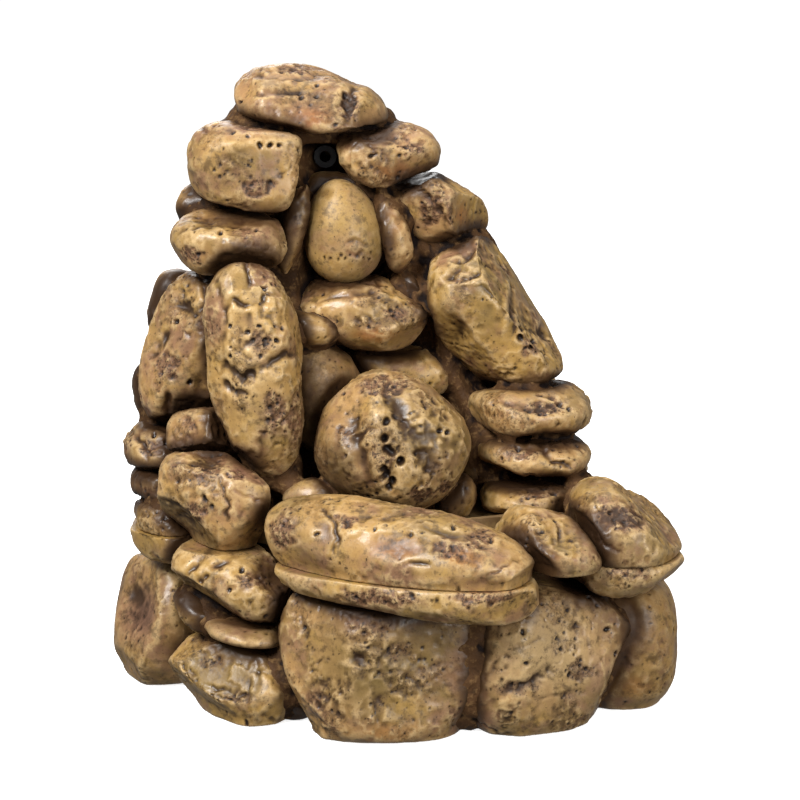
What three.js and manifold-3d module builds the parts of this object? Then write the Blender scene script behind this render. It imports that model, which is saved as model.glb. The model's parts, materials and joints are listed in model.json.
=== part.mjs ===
// A tabletop water fountain shaped as a stack of river stones, in millimetres, +Z up.
// It is two castings. The basin casting is a bowl with a ring of stones round it, and holds the pump.
// The tower casting lifts off it at a level parting line: a tray with drain holes, a hollow wall curved
// round a niche, and the stones stacked on it. A hose climbs inside that wall and ends under the cap stone.
// The origin is on the surface that the fountain stands on, level with the middle of the bowl from left to
// right and 12 mm in front of the bowl's centre. X is to the right, -Y is the front with the niche and pool.
import * as THREE from "three";
import { ConvexGeometry } from "three/addons/geometries/ConvexGeometry.js";
import { mergeVertices } from "three/addons/utils/BufferGeometryUtils.js";
import Module from "manifold-3d";

const wasm = await Module();
wasm.setup();

// ---- Driving dimensions ----

const GAP = 0.3; // between faces that touch
const SEAM_Z = 73; // parting line between the two castings
const BASIN_TOP = SEAM_Z - GAP / 2;
const TRAY_UNDERSIDE = SEAM_Z + GAP / 2;

// The oval bowl, outside: semi-axes at its foot and at its rim.
const BOWL = { x: 0, y: 12, foot: [82, 64], rim: [90, 72], wall: 5, floor: 5 };
const CORD_NOTCH = { x: 6, width: 10, depth: 12 };
const TRAY = { thick: 5, overhang: 3, wall: 3, registerDepth: 4, clearance: 0.5, rimHeight: 10 };
const TRAY_TOP = TRAY_UNDERSIDE + TRAY.thick;
const POOL = { left: -45, right: 50, back: -22 }; // how far the tray's rim runs
const DRAIN = { count: 5, length: 26, width: 5, pitch: 12, x: 6, y: -34 };
const CORE_TOP = 248; // top of the hollow tower wall
const CORE_WALL = 4;
const NICHE_ROOF = 4.5;

// The pump lies along X. Its outlet stands at x, y, and the lengths run along its shaft.
const PUMP = { x: -17, y: 42, width: 34, height: 32, corner: 4, motorLength: 30, voluteLength: 12 };
const CUP = { height: 6, radius: 10 };
const ROTOR = { radius: 6, length: 18, shaft: 1, bladeRadius: 10.5, bladeThick: 1.4, bladeCount: 6 };
const RUNNING = 0.6; // clearance round the rotor
const COOLING_SLOTS = { count: 4, width: 2, pitch: 5.5, first: 7 };
const INTAKE = { radius: 6, bar: 5, slots: 6, slotWidth: 2.2, slotPitch: 4.4, slotHeight: 11 };
const GLAND = { radius: 4, bore: 2, length: 8, inset: 8, rise: 7 };
const GRILLE = { length: 11, wall: 2 };
const SLIDER = { travel: 8, height: 4, width: 5 };
const HOSE = { bore: 4, outer: 5.5, foot: 46, top: 214 }; // radii, and the heights of its ends
const SPOUT = { x: -34, z: 236, tip: 24 }; // the elbow's mouth, and how far forward it comes

// The tower's hollow wall: an oval outside that narrows and leans as it rises, less the oval niche.
const CORE_OUTSIDE = [
  { z: TRAY_TOP + GAP, x: -20, y: 30, a: 80, b: 52 },
  { z: CORE_TOP, x: -40, y: 36, a: 24, b: 22 },
];
const NICHE = [
  { z: TRAY_TOP + GAP, x: 2, y: -20, a: 50, b: 48 },
  { z: CORE_TOP - NICHE_ROOF, x: -28, y: 4, a: 20, b: 30 },
];
const BOWL_OUTSIDE = [
  { z: 0, x: BOWL.x, y: BOWL.y, a: BOWL.foot[0], b: BOWL.foot[1] },
  { z: BASIN_TOP, x: BOWL.x, y: BOWL.y, a: BOWL.rim[0], b: BOWL.rim[1] },
];
const TRAY_OUTLINE = [TRAY_UNDERSIDE, TRAY_TOP].map((z) => ({
  z,
  x: BOWL.x,
  y: BOWL.y,
  a: BOWL.rim[0] + TRAY.overhang,
  b: BOWL.rim[1] + TRAY.overhang,
}));
const HOSE_ROUTE = [
  [PUMP.x, PUMP.y, HOSE.foot],
  [PUMP.x, PUMP.y, 66],
  [PUMP.x, PUMP.y, 84],
  [-20, 46, 118],
  [-26, 50, 150],
  [-32, 50.5, 182],
  [-33, 50, 200],
  [-33, 50, HOSE.top],
];

// ---- Materials ----

const paint = (color, roughness, metalness = 0) =>
  new THREE.MeshStandardMaterial({ color, roughness, metalness });
const MATERIALS = {
  stone: paint(0xa98a52, 0.55),
  paleStone: paint(0xb89c63, 0.5),
  casting: paint(0x5c4630, 0.75),
  pumpPlastic: paint(0x1c1c1e, 0.45),
  pumpBlue: paint(0x2d4f7c, 0.45),
  magnet: paint(0x3a3a3c, 0.5),
  ceramic: paint(0xe8e6df, 0.25),
  vinyl: paint(0xcfd6d4, 0.2),
  rubber: paint(0x26262a, 0.8),
};

// ---- Solids ----

const degrees = THREE.MathUtils.degToRad;

// A closed geometry as a solid that can be cut and joined.
function solid(geometry) {
  const bare = geometry.clone();
  bare.deleteAttribute("normal");
  bare.deleteAttribute("uv");
  const merged = mergeVertices(bare, 1e-3);
  return new wasm.Manifold(
    new wasm.Mesh({
      numProp: 3,
      vertProperties: new Float32Array(merged.attributes.position.array),
      triVerts: new Uint32Array(merged.index.array),
    }),
  );
}

function geometryOf(body) {
  const { numProp, vertProperties, triVerts } = body.getMesh();
  const count = vertProperties.length / numProp;
  const positions = new Float32Array(count * 3);
  for (let i = 0; i < count; i++) {
    positions.set(vertProperties.subarray(i * numProp, i * numProp + 3), i * 3);
  }
  const geometry = new THREE.BufferGeometry();
  geometry.setAttribute("position", new THREE.BufferAttribute(positions, 3));
  geometry.setIndex(new THREE.BufferAttribute(new Uint32Array(triVerts), 1));
  return geometry;
}

// A named mesh whose own origin is at the given place, for a solid made in the part's frame.
function part(name, body, material, at = [0, 0, 0]) {
  const geometry = geometryOf(body).translate(-at[0], -at[1], -at[2]).toNonIndexed();
  geometry.computeVertexNormals();
  const mesh = new THREE.Mesh(geometry, material);
  mesh.name = name;
  mesh.position.set(...at);
  return mesh;
}

const box = (w, d, h, x, y, z) => solid(new THREE.BoxGeometry(w, d, h).translate(x, y, z));

// A cylinder along the given axis, from one end to the other.
function rod(axis, radius, from, to, across, sides = 16) {
  const geometry = new THREE.CylinderGeometry(radius, radius, to - from, sides);
  if (axis === "x") geometry.rotateZ(-Math.PI / 2).translate((from + to) / 2, ...across);
  if (axis === "y") geometry.translate(across[0], (from + to) / 2, across[1]);
  if (axis === "z") geometry.rotateX(Math.PI / 2).translate(...across, (from + to) / 2);
  return solid(geometry);
}

// A shape turned about a vertical axis; the profile runs from the axis, round the outside, back to it.
function turned(profile, x, y, z, sides = 12) {
  const points = profile.map(([radius, height]) => new THREE.Vector2(radius, height));
  return solid(new THREE.LatheGeometry(points, sides).rotateX(Math.PI / 2).translate(x, y, z));
}

// A solid between level ovals, lowest first, each { z, x, y, a, b } with semi-axes a and b.
function ovalLoft(ovals, sides = 40) {
  const points = ovals.map(({ z, x, y, a, b }) =>
    Array.from({ length: sides }, (_, i) => {
      const angle = (i / sides) * 2 * Math.PI;
      return [x + a * Math.cos(angle), y + b * Math.sin(angle), z];
    }),
  );
  const positions = points.flat(2);
  const top = sides * (ovals.length - 1);
  const index = [];
  for (let i = 0; i < sides; i++) {
    const next = (i + 1) % sides;
    for (let row = 0; row < top; row += sides) {
      index.push(row + i, row + next, row + sides + next);
      index.push(row + i, row + sides + next, row + sides + i);
    }
  }
  for (let i = 1; i < sides - 1; i++) {
    index.push(0, i + 1, i, top, top + i, top + i + 1);
  }
  const geometry = new THREE.BufferGeometry();
  geometry.setAttribute("position", new THREE.Float32BufferAttribute(positions, 3));
  geometry.setIndex(index);
  return solid(geometry);
}

const grown = (ovals, by) => ovals.map((oval) => ({ ...oval, a: oval.a + by, b: oval.b + by }));

// The same slanting walls carried on to other heights.
function stretched([low, high], bottom, top) {
  const at = (z) => {
    const share = (z - low.z) / (high.z - low.z);
    const mix = (key) => low[key] + (high[key] - low[key]) * share;
    return { z, x: mix("x"), y: mix("y"), a: mix("a"), b: mix("b") };
  };
  return [at(bottom), at(top)];
}

// A round bar along a smooth curve.
function sweep(route, radius, steps, sides = 12) {
  const path = new THREE.CatmullRomCurve3(route.map((point) => new THREE.Vector3(...point)));
  const section = new THREE.Shape().absarc(0, 0, radius, 0, 2 * Math.PI);
  return solid(
    new THREE.ExtrudeGeometry(section, {
      steps,
      extrudePath: path,
      curveSegments: sides,
      bevelEnabled: false,
    }),
  );
}

// A block with rounded edges along X, from one x to the other, with its middle at y, z.
function pumpBlock(from, to, width, height, corner, y, z) {
  const right = width / 2 - corner;
  const top = height / 2 - corner;
  const section = new THREE.Shape();
  section.absarc(right, top, corner, 0, Math.PI / 2);
  section.absarc(-right, top, corner, Math.PI / 2, Math.PI);
  section.absarc(-right, -top, corner, Math.PI, 1.5 * Math.PI);
  section.absarc(right, -top, corner, 1.5 * Math.PI, 2 * Math.PI);
  const geometry = new THREE.ExtrudeGeometry(section, {
    depth: to - from,
    curveSegments: 3,
    bevelEnabled: false,
  });
  geometry.rotateX(Math.PI / 2).rotateZ(Math.PI / 2);
  geometry.computeBoundingBox();
  return solid(geometry.translate(from - geometry.boundingBox.min.x, y, z));
}

// ---- Stones ----

// One rounded stone, always convex. size is its width, depth and height before it is turned by the three
// angles. square is 2 for an egg and 4 for a block. Each pull is [x, y, z, amount, tightness]: it draws the
// surface out, or in where the amount is below 0, round that direction. Each flat is [x, y, z, distance],
// a plane that shaves the stone, at that share of its half size.
function stoneBody({ size, at, turn = [0, 0, 0], square = 2.6, pulls = [], flats = [], detail = 2 }) {
  const ball = new THREE.IcosahedronGeometry(1, detail);
  ball.rotateX(at[0] * 0.1).rotateZ(at[2] * 0.1); // no two stones share one pattern of facets
  const positions = ball.attributes.position;
  const points = [];
  for (let i = 0; i < positions.count; i++) {
    const direction = new THREE.Vector3().fromBufferAttribute(positions, i).normalize();
    const { x, y, z } = direction;
    const sum = Math.abs(x) ** square + Math.abs(y) ** square + Math.abs(z) ** square;
    let radius = sum ** (-1 / square);
    for (const [px, py, pz, amount, tightness = 3] of pulls) {
      const towards = direction.dot(new THREE.Vector3(px, py, pz).normalize());
      radius *= 1 + amount * Math.max(0, towards) ** tightness;
    }
    points.push(direction.multiplyScalar(radius));
  }
  for (const [fx, fy, fz, distance] of flats) {
    const normal = new THREE.Vector3(fx, fy, fz).normalize();
    for (const point of points) {
      point.addScaledVector(normal, -Math.max(0, point.dot(normal) - distance));
    }
  }
  const bounds = new THREE.Box3().setFromPoints(points);
  const half = bounds.getSize(new THREE.Vector3()).multiplyScalar(0.5);
  const middle = bounds.getCenter(new THREE.Vector3());
  const euler = new THREE.Euler(...turn.map(degrees), "ZYX");
  for (const point of points) {
    point.sub(middle).divide(half);
    point.multiply(new THREE.Vector3(...size).multiplyScalar(0.5));
    point.applyEuler(euler).add(new THREE.Vector3(...at));
  }
  return solid(new ConvexGeometry(points));
}

// The part of a body on the far side of a plane, where normal . p is over offset.
const beyond = (body, normal, offset) => body.trimByPlane(normal.toArray(), offset);

// How far a set of ovals reaches along a level direction, at each oval.
function reaches(ovals, nx, ny) {
  return ovals.map(({ x, y, a, b }) => nx * x + ny * y + Math.hypot(a * nx, b * ny));
}

// Shaves the back of a stone by a plane that lies against an oval wall, on the side that angle names
// (degrees, 0 to the right and -90 to the front).
function againstWall(body, ovals, angle) {
  const nx = Math.cos(degrees(angle));
  const ny = Math.sin(degrees(angle));
  const [low, high] = reaches(ovals, nx, ny);
  const rise = ovals[1].z - ovals[0].z;
  const normal = new THREE.Vector3(nx, ny, (low - high) / rise);
  const scale = normal.length();
  const offset = (low + normal.z * ovals[0].z) / scale + GAP;
  return beyond(body, normal.divideScalar(scale), offset);
}

// The middle of a body's surface and the direction in which it is thinnest.
function lens(body) {
  const geometry = geometryOf(body).toNonIndexed();
  const positions = geometry.attributes.position;
  const corners = [new THREE.Vector3(), new THREE.Vector3(), new THREE.Vector3()];
  const faces = [];
  const middle = new THREE.Vector3();
  let total = 0;
  for (let i = 0; i < positions.count; i += 3) {
    corners.forEach((corner, k) => corner.fromBufferAttribute(positions, i + k));
    const triangle = new THREE.Triangle(...corners);
    const area = triangle.getArea();
    const centre = triangle.getMidpoint(new THREE.Vector3());
    faces.push({ area, centre });
    middle.addScaledVector(centre, area);
    total += area;
  }
  middle.divideScalar(total);
  // The spread of the faces, turned inside out so that its strongest direction is the thinnest one.
  const spread = [0, 1, 2].map(() => [0, 0, 0]);
  let trace = 0;
  for (const { area, centre } of faces) {
    const d = centre.sub(middle).toArray();
    d.forEach((a, row) => d.forEach((b, column) => (spread[row][column] += area * a * b)));
    trace += area * (d[0] ** 2 + d[1] ** 2 + d[2] ** 2);
  }
  let thin = new THREE.Vector3(0.6, 0.5, 0.62);
  for (let step = 0; step < 80; step++) {
    const v = thin.toArray();
    thin = new THREE.Vector3(
      ...v.map((value, row) => trace * value - spread[row].reduce((s, a, k) => s + a * v[k], 0)),
    ).normalize();
  }
  return { middle, thin };
}

function centreOf(body) {
  const { min, max } = body.boundingBox();
  return new THREE.Vector3(...min).add(new THREE.Vector3(...max)).multiplyScalar(0.5);
}

// Where two stones overlap, both are shaved by one plane through the overlap, and stay convex.
function pressTogether(stones) {
  for (let i = 0; i < stones.length; i++) {
    for (let k = i + 1; k < stones.length; k++) {
      const common = stones[i].body.intersect(stones[k].body);
      if (common.volume() < 0.5) continue;
      const { middle, thin } = lens(common);
      const apart = centreOf(stones[k].body).sub(centreOf(stones[i].body)).normalize();
      const normal = Math.abs(thin.dot(apart)) > 0.45 ? thin : apart;
      if (normal.dot(apart) < 0) normal.negate();
      const offset = normal.dot(middle);
      stones[k].body = beyond(stones[k].body, normal, offset + GAP / 2);
      stones[i].body = beyond(stones[i].body, normal.clone().negate(), -offset + GAP / 2);
    }
  }
}

// The stones of the basin casting. side is the direction in degrees that each one faces from the bowl.
const BASIN_STONES = [
  { name: "base_front_stone", at: [-12, -72, 30], size: [80, 62, 76], turn: [0, 2, 6], side: -95,
    square: 3.4, detail: 3, pulls: [[-1, 0, 0.9, 0.1], [0.3, -0.4, -1, 0.08]],
    flats: [[0.2, -1, 0.15, 0.86], [-0.7, -0.6, 0.2, 0.92]] },
  { name: "base_front_right_stone", at: [66, -62, 28], size: [80, 58, 72], turn: [0, 4, 28], side: -60,
    square: 3, detail: 3, pulls: [[1, 0, 0.4, 0.08], [-1, 0, -0.7, 0.1]],
    flats: [[0.1, -1, 0.3, 0.84], [0.8, -0.7, -0.4, 0.86]] },
  { name: "base_right_stone", at: [99, -35, 27], size: [50, 60, 62], turn: [0, 0, 24], side: -25,
    square: 2.8, pulls: [[0.4, -1, -0.3, 0.08]], flats: [[1, -0.4, 0.3, 0.86]] },
  { name: "base_left_front_stone", at: [-73, -54, 15], size: [66, 50, 42], turn: [0, 6, -26], side: -140,
    square: 2.6, pulls: [[-1, 0, 0.1, 0.22, 5]], flats: [[-0.1, -1, 0.55, 0.8]] },
  { name: "base_left_stone", at: [-107, 0, 26], size: [50, 66, 64], turn: [0, 8, 12], side: 180,
    square: 3.4, pulls: [[-0.6, 0, -0.8, 0.14]], flats: [[-1, -0.5, 0.4, 0.84], [0.5, -1, 0.4, 0.88]] },
  { name: "basin_left_slab_stone", at: [-72, -48, 59], size: [60, 50, 31], turn: [0, 10, -22], side: -140,
    square: 2.8, pulls: [[-1, 0, 0.5, 0.12]] },
  { name: "basin_disc_stone", at: [-64, -52, 38], size: [44, 52, 12], turn: [0, 7, -20], side: -140,
    square: 2.2 },
  { name: "lip_long_underside", at: [3, -86, 69], size: [124, 52, 26], turn: [0, 4, -20], side: -105,
    square: 2.6, pulls: [[1, 0, 0.2, 0.1]] },
  { name: "lip_right_underside", at: [97, -56, 68], size: [54, 52, 24], turn: [0, -4, 8], side: -40,
    square: 2.6 },
  { name: "base_rear_right_stone", at: [95, 34, 34], size: [62, 84, 82], turn: [4, 0, -8], side: 15,
    square: 3.2, flats: [[1, 0.5, 0.3, 0.85]] },
  { name: "base_rear_stone", at: [48, 84, 31], size: [72, 48, 74], turn: [0, -5, -18], side: 65,
    square: 3.4, flats: [[0.2, 1, 0.2, 0.86]] },
  { name: "base_rear_middle_stone", at: [-34, 88, 34], size: [72, 46, 82], turn: [0, 6, 10], side: 105,
    square: 3, flats: [[-0.3, 1, 0.4, 0.84]] },
  { name: "base_rear_left_stone", at: [-88, 62, 30], size: [66, 62, 68], turn: [0, 0, 40], side: 150,
    square: 3, flats: [[-1, 0.6, 0.2, 0.85]] },
];

// The stones of the tower casting. side is the direction that each one faces from the wall. Those with a
// skirt hang outside the tray's edge, down to the parting line. The others stand above the tray.
const TOWER_STONES = [
  { name: "left_shoulder_stone", at: [-67, 2, 235], size: [54, 50, 41], turn: [0, 3, -8], side: -150,
    square: 3.6, pulls: [[0, 0, 1, 0.08, 2]], flats: [[-0.4, 0, -1, 0.86], [0.4, -1, 0.1, 0.9]] },
  { name: "left_flat_stone", at: [-75, -4, 202], size: [55, 52, 30], turn: [0, 2, -10], side: -150,
    square: 2.6, flats: [[0, -0.6, 1, 0.84]] },
  { name: "upper_right_stone", at: [-7, 19, 237], size: [51, 44, 31], turn: [0, 8, 8], side: -35,
    square: 2.8, pulls: [[1, 0, 0.2, 0.1]], flats: [[0.5, -1, -0.3, 0.86]] },
  { name: "right_faceted_stone", at: [17, 26, 211], size: [56, 50, 32], turn: [0, 30, 16], side: -20,
    square: 3, flats: [[0.7, -0.9, 0.2, 0.7], [1, -0.2, -0.5, 0.76], [-0.4, -0.8, -0.5, 0.74]] },
  { name: "left_pillar_stone", at: [-64, -30, 150], size: [43, 44, 101], turn: [0, -4, -6], side: -125,
    square: 2.5, detail: 3, pulls: [[0.4, 0, -1, 0.1, 6], [-1, 0, 0.2, 0.08], [1, 0, -0.25, 0.08]] },
  { name: "left_rear_pillar_stone", at: [-94, 8, 149], size: [44, 50, 76], turn: [0, 16, 0], side: -165,
    square: 3, pulls: [[0, 0, -1, 0.1]], flats: [[-0.8, -0.8, 0.3, 0.82]] },
  { name: "left_chock_stone", at: [-88, -20, 116], size: [32, 34, 27], turn: [0, -8, -20], side: -150,
    square: 3.4, flats: [[-0.2, -1, 0.4, 0.8]] },
  { name: "left_stack_stone_upper", at: [-103, 8, 106], size: [48, 56, 27], turn: [0, -6, 6], side: -170,
    square: 2.5 },
  { name: "left_stack_stone_lower", at: [-97, 4, 88], size: [52, 56, 28], turn: [0, 12, 0], side: -165,
    square: 2.5, skirt: true },
  { name: "left_wedge_stone", at: [-98, -6, 74], size: [50, 60, 24], turn: [0, 12, 8], side: -170,
    square: 2.4, skirt: true },
  { name: "left_slab_stone", at: [-79, -38, 93], size: [58, 50, 45], turn: [0, 14, -18], side: -140,
    square: 2.8, detail: 3, pulls: [[-1, 0, 0.6, 0.14], [1, 0, 0.5, 0.1]], skirt: true },
  { name: "right_pillar_stone", at: [42, 14, 163], size: [50, 62, 80], turn: [0, -28, 8], side: -40,
    square: 3, detail: 3, pulls: [[0.6, 0, -1, 0.1]],
    flats: [[0.9, -0.6, 0.2, 0.78], [-0.2, -1, -0.2, 0.86], [-0.8, -0.7, -0.5, 0.84]] },
  { name: "right_stack_stone_upper", at: [59, 6, 124], size: [57, 66, 25], turn: [0, 2, 12], side: -38,
    square: 2.5, pulls: [[1, 0, 0, 0.06]] },
  { name: "right_stack_stone_middle", at: [60, 2, 104], size: [54, 66, 22], turn: [0, 3, 10], side: -38,
    square: 2.5 },
  { name: "right_stack_stone_lower", at: [59, -2, 86], size: [50, 68, 20], turn: [0, 0, 6], side: -38,
    square: 2.6 },
  { name: "rear_low_left_stone", at: [-72, 68, 104], size: [70, 50, 58], turn: [8, 4, 34], side: 135,
    square: 2.8, flats: [[-0.4, 1, 0.2, 0.84]] },
  { name: "rear_low_middle_stone", at: [-16, 86, 103], size: [74, 44, 54], turn: [8, -4, 0], side: 92,
    square: 3, flats: [[0.2, 1, 0.1, 0.82]] },
  { name: "rear_low_right_stone", at: [50, 62, 104], size: [72, 52, 58], turn: [0, 4, -42], side: 45,
    square: 2.8, flats: [[0.8, 1, 0.1, 0.84]] },
  { name: "rear_middle_left_stone", at: [-74, 60, 158], size: [58, 44, 64], turn: [8, 8, 30], side: 135,
    square: 2.8, flats: [[-0.5, 1, 0.3, 0.82]] },
  { name: "rear_middle_stone", at: [-20, 74, 156], size: [64, 42, 60], turn: [8, -6, 0], side: 88,
    square: 3, flats: [[0.4, 1, 0.1, 0.84]] },
  { name: "rear_middle_right_stone", at: [32, 54, 154], size: [56, 46, 66], turn: [8, -12, -36], side: 40,
    square: 2.8, flats: [[0.4, 1, -0.2, 0.84]] },
  { name: "rear_high_left_stone", at: [-62, 52, 213], size: [52, 42, 60], turn: [6, 4, 28], side: 125,
    square: 2.8, flats: [[0, 1, 0.2, 0.86]] },
  { name: "rear_high_right_stone", at: [-12, 54, 209], size: [56, 42, 64], turn: [6, -8, -28], side: 60,
    square: 2.6, flats: [[0.3, 1, 0.3, 0.84]] },
  { name: "lip_long_stone", at: [2, -84, 80], size: [128, 52, 42], turn: [0, 4, -20], side: -105,
    square: 2.5, detail: 3, pulls: [[-0.7, 0, 1, 0.22, 3], [1, 0, -0.5, 0.14, 4], [0.1, 0.2, 1, 0.06]],
    skirt: true },
  { name: "lip_middle_stone", at: [64, -72, 80], size: [42, 54, 32], turn: [0, 20, 24], side: -60,
    square: 2.8, flats: [[-0.2, -0.8, 1, 0.84]], skirt: true },
  { name: "lip_right_stone", at: [97, -54, 81], size: [56, 58, 42], turn: [0, 22, 8], side: -40,
    square: 2.9, pulls: [[-0.6, 0, 1, 0.12]], flats: [[0.7, -0.5, 0.9, 0.78]], skirt: true },
];
const CAP_STONE = {
  name: "cap_stone", at: [-40, 21, 260], size: [71, 60, 32], turn: [0, 7, -4], square: 2.6, detail: 3,
  pulls: [[-1, 0, 0.1, 0.06], [1, 0, -0.3, 0.14, 4], [-0.4, 0.3, 1, 0.12, 5]],
  flats: [[0.1, -1, 0.5, 0.84]],
};

// The stones inside the niche.
const NICHE_STONES = [
  { name: "ball_stone", at: [-4, -26, 114], size: [69, 62, 62], turn: [0, 18, 0], square: 2.3, detail: 3,
    pulls: [[1, 0, 0.3, 0.05], [-0.3, 0, 1, 0.05]] },
  { name: "egg_stone", at: [-26, 19, 203], size: [36, 30, 50], turn: [0, -7, 0], square: 2.15,
    pulls: [[0, 0, -1, 0.06]] },
  { name: "ledge_stone", at: [-20, 12, 167], size: [62, 50, 34], turn: [0, 8, 0], square: 3.2,
    pulls: [[1, -0.5, -0.5, 0.16, 5]], flats: [[0.3, -1, 0.5, 0.8]] },
  { name: "niche_left_stone", at: [-38, 4, 131], size: [44, 44, 58], turn: [0, -24, 0], square: 2.6,
    pulls: [[1, 0, -0.8, 0.12]] },
  { name: "niche_back_stone", at: [0, 22, 138], size: [56, 36, 25], turn: [0, 6, 0], square: 2.6 },
];

// Every stone shaved to its place: { name, at, casting, body }.
function shapeStones() {
  const up = new THREE.Vector3(0, 0, 1);
  const down = new THREE.Vector3(0, 0, -1);
  const niche = ovalLoft(grown(NICHE, -GAP));
  const shaped = (list, casting, shape) =>
    list.map((stone) => ({ ...stone, casting, body: shape(stoneBody(stone), stone) }));
  const basin = shaped(BASIN_STONES, "basin", (body, { side }) =>
    beyond(beyond(againstWall(body, BOWL_OUTSIDE, side), up, 0), down, -BASIN_TOP),
  );
  const tower = shaped(TOWER_STONES, "tower", (body, { side, skirt }) => {
    const leaning = againstWall(body, CORE_OUTSIDE, side);
    return skirt
      ? beyond(againstWall(leaning, TRAY_OUTLINE, side), up, TRAY_UNDERSIDE)
      : beyond(leaning, up, TRAY_TOP + GAP);
  });
  const cap = shaped([CAP_STONE], "tower", (body) => beyond(body, up, CORE_TOP + GAP));
  const inside = shaped(NICHE_STONES, "tower", (body) =>
    beyond(body.intersect(niche), up, TRAY_TOP + GAP),
  );
  const stones = [...basin, ...tower, ...cap, ...inside];
  pressTogether(stones);
  return stones;
}

// ---- The two castings' shells ----

function basinShell() {
  const outside = ovalLoft(BOWL_OUTSIDE);
  const inside = ovalLoft(grown(stretched(BOWL_OUTSIDE, BOWL.floor, SEAM_Z + 1), -BOWL.wall));
  const notch = box(CORD_NOTCH.width, 30, CORD_NOTCH.depth + 1,
    CORD_NOTCH.x, BOWL.y + BOWL.rim[1], BASIN_TOP - CORD_NOTCH.depth / 2 + 0.5);
  return outside.subtract(inside).subtract(notch);
}

// A level plate with drain slots and a hole for the hose. A ring under it drops into the bowl, and a low
// rim along its front holds the pool.
function splashTray() {
  const sunk = TRAY_UNDERSIDE - TRAY.registerDepth;
  const [bowlMouth] = grown(stretched(BOWL_OUTSIDE, sunk, SEAM_Z), -BOWL.wall - TRAY.clearance);
  const upright = (oval, bottom, top) => ovalLoft([{ ...oval, z: bottom }, { ...oval, z: top }]);
  const ring = (oval, bottom, top) => {
    const [hollow] = grown([oval], -TRAY.wall);
    return upright(oval, bottom, top).subtract(upright(hollow, bottom - 1, top + 1));
  };
  const back = BOWL.y + BOWL.rim[1];
  const register = ring(bowlMouth, sunk, TRAY_UNDERSIDE + 1);
  const cordGap = box(CORD_NOTCH.width, 30, 20, CORD_NOTCH.x, back, TRAY_UNDERSIDE - 10);
  const rimTop = TRAY_TOP + TRAY.rimHeight;
  const front = box(POOL.right - POOL.left, 100, 60, (POOL.left + POOL.right) / 2, POOL.back - 50, rimTop);
  const rim = ring(TRAY_OUTLINE[0], TRAY_TOP - 1, rimTop).intersect(front);
  let tray = ovalLoft(TRAY_OUTLINE).add(register.subtract(cordGap)).add(rim);
  for (let i = 0; i < DRAIN.count; i++) {
    const x = DRAIN.x + (i - (DRAIN.count - 1) / 2) * DRAIN.pitch;
    tray = tray.subtract(box(DRAIN.width, DRAIN.length, 20, x, DRAIN.y, TRAY_TOP));
  }
  return tray.subtract(rod("z", HOSE.outer + 1, SEAM_Z - 5, TRAY_TOP + 5, [PUMP.x, PUMP.y]));
}

// The curved hollow wall: solid between the outside and the niche, then hollowed from below.
function towerShell() {
  const bottom = CORE_OUTSIDE[0].z;
  const wall = ovalLoft(CORE_OUTSIDE).subtract(ovalLoft(stretched(NICHE, bottom - 1, NICHE[1].z)));
  const hollow = ovalLoft(grown(stretched(CORE_OUTSIDE, bottom - 1, CORE_TOP - CORE_WALL), -CORE_WALL));
  const nicheSkin = ovalLoft(grown(stretched(NICHE, bottom - 2, CORE_TOP + 1), CORE_WALL));
  const spoutHole = rod("y", HOSE.outer + 0.5, SPOUT.tip, SPOUT.tip + 24, [SPOUT.x, SPOUT.z]);
  return wall.subtract(hollow.subtract(nicheSkin)).subtract(spoutHole);
}

// ---- Water path ----

function outletHose() {
  const ends = [HOSE_ROUTE[0], HOSE_ROUTE.at(-1)];
  const bore = [
    [ends[0][0], ends[0][1], ends[0][2] - 3],
    ...HOSE_ROUTE.slice(1, -1),
    [ends[1][0], ends[1][1], ends[1][2] + 3],
  ];
  return sweep(HOSE_ROUTE, HOSE.outer, 22, 6).subtract(sweep(bore, HOSE.bore, 22, 6));
}

// A stiff elbow: its spigot stands in the hose, and its mouth points out of the niche's back wall.
function spoutElbow() {
  const [x, y, z] = HOSE_ROUTE.at(-1);
  const bend = [
    [x, y, z + GAP],
    [x, y, z + 6],
    [x, y - 3, SPOUT.z - 5],
    [SPOUT.x, y - 9, SPOUT.z],
    [SPOUT.x, y - 16, SPOUT.z],
    [SPOUT.x, SPOUT.tip, SPOUT.z],
  ];
  const bore = [[x, y, z - 14], [x, y, z - 5], ...bend.slice(1, -1), [SPOUT.x, SPOUT.tip - 3, SPOUT.z]];
  const spigot = rod("z", HOSE.bore - 2 * GAP, z - 10, z + 4, [x, y], 12);
  return sweep(bend, HOSE.outer - 0.3, 16, 6).add(spigot).subtract(sweep(bore, 2.6, 22, 5));
}

// ---- Pump ----

const PUMP_FOOT = BOWL.floor + CUP.height + 2 * GAP;
const PUMP_Z = PUMP_FOOT + PUMP.height / 2;
const VOLUTE_LEFT = PUMP.x - PUMP.voluteLength / 2;
const VOLUTE_RIGHT = PUMP.x + PUMP.voluteLength / 2;
const MOTOR_LEFT = VOLUTE_RIGHT + GAP;
const MOTOR_RIGHT = MOTOR_LEFT + PUMP.motorLength;
const ROTOR_LEFT = MOTOR_LEFT + 1;
const ROTOR_RIGHT = ROTOR_LEFT + ROTOR.length;
const SHAFT_SOCKET = 2.5;
const SHAFT_LEFT = VOLUTE_LEFT + 1.5;
const SHAFT_RIGHT = ROTOR_RIGHT + 1 + SHAFT_SOCKET;
const AXIS = [PUMP.y, PUMP_Z];

const pumpBody = (from, to, inset = 0) =>
  pumpBlock(from, to, PUMP.width - 2 * inset, PUMP.height - 2 * inset, PUMP.corner - inset / 2, ...AXIS);

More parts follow.
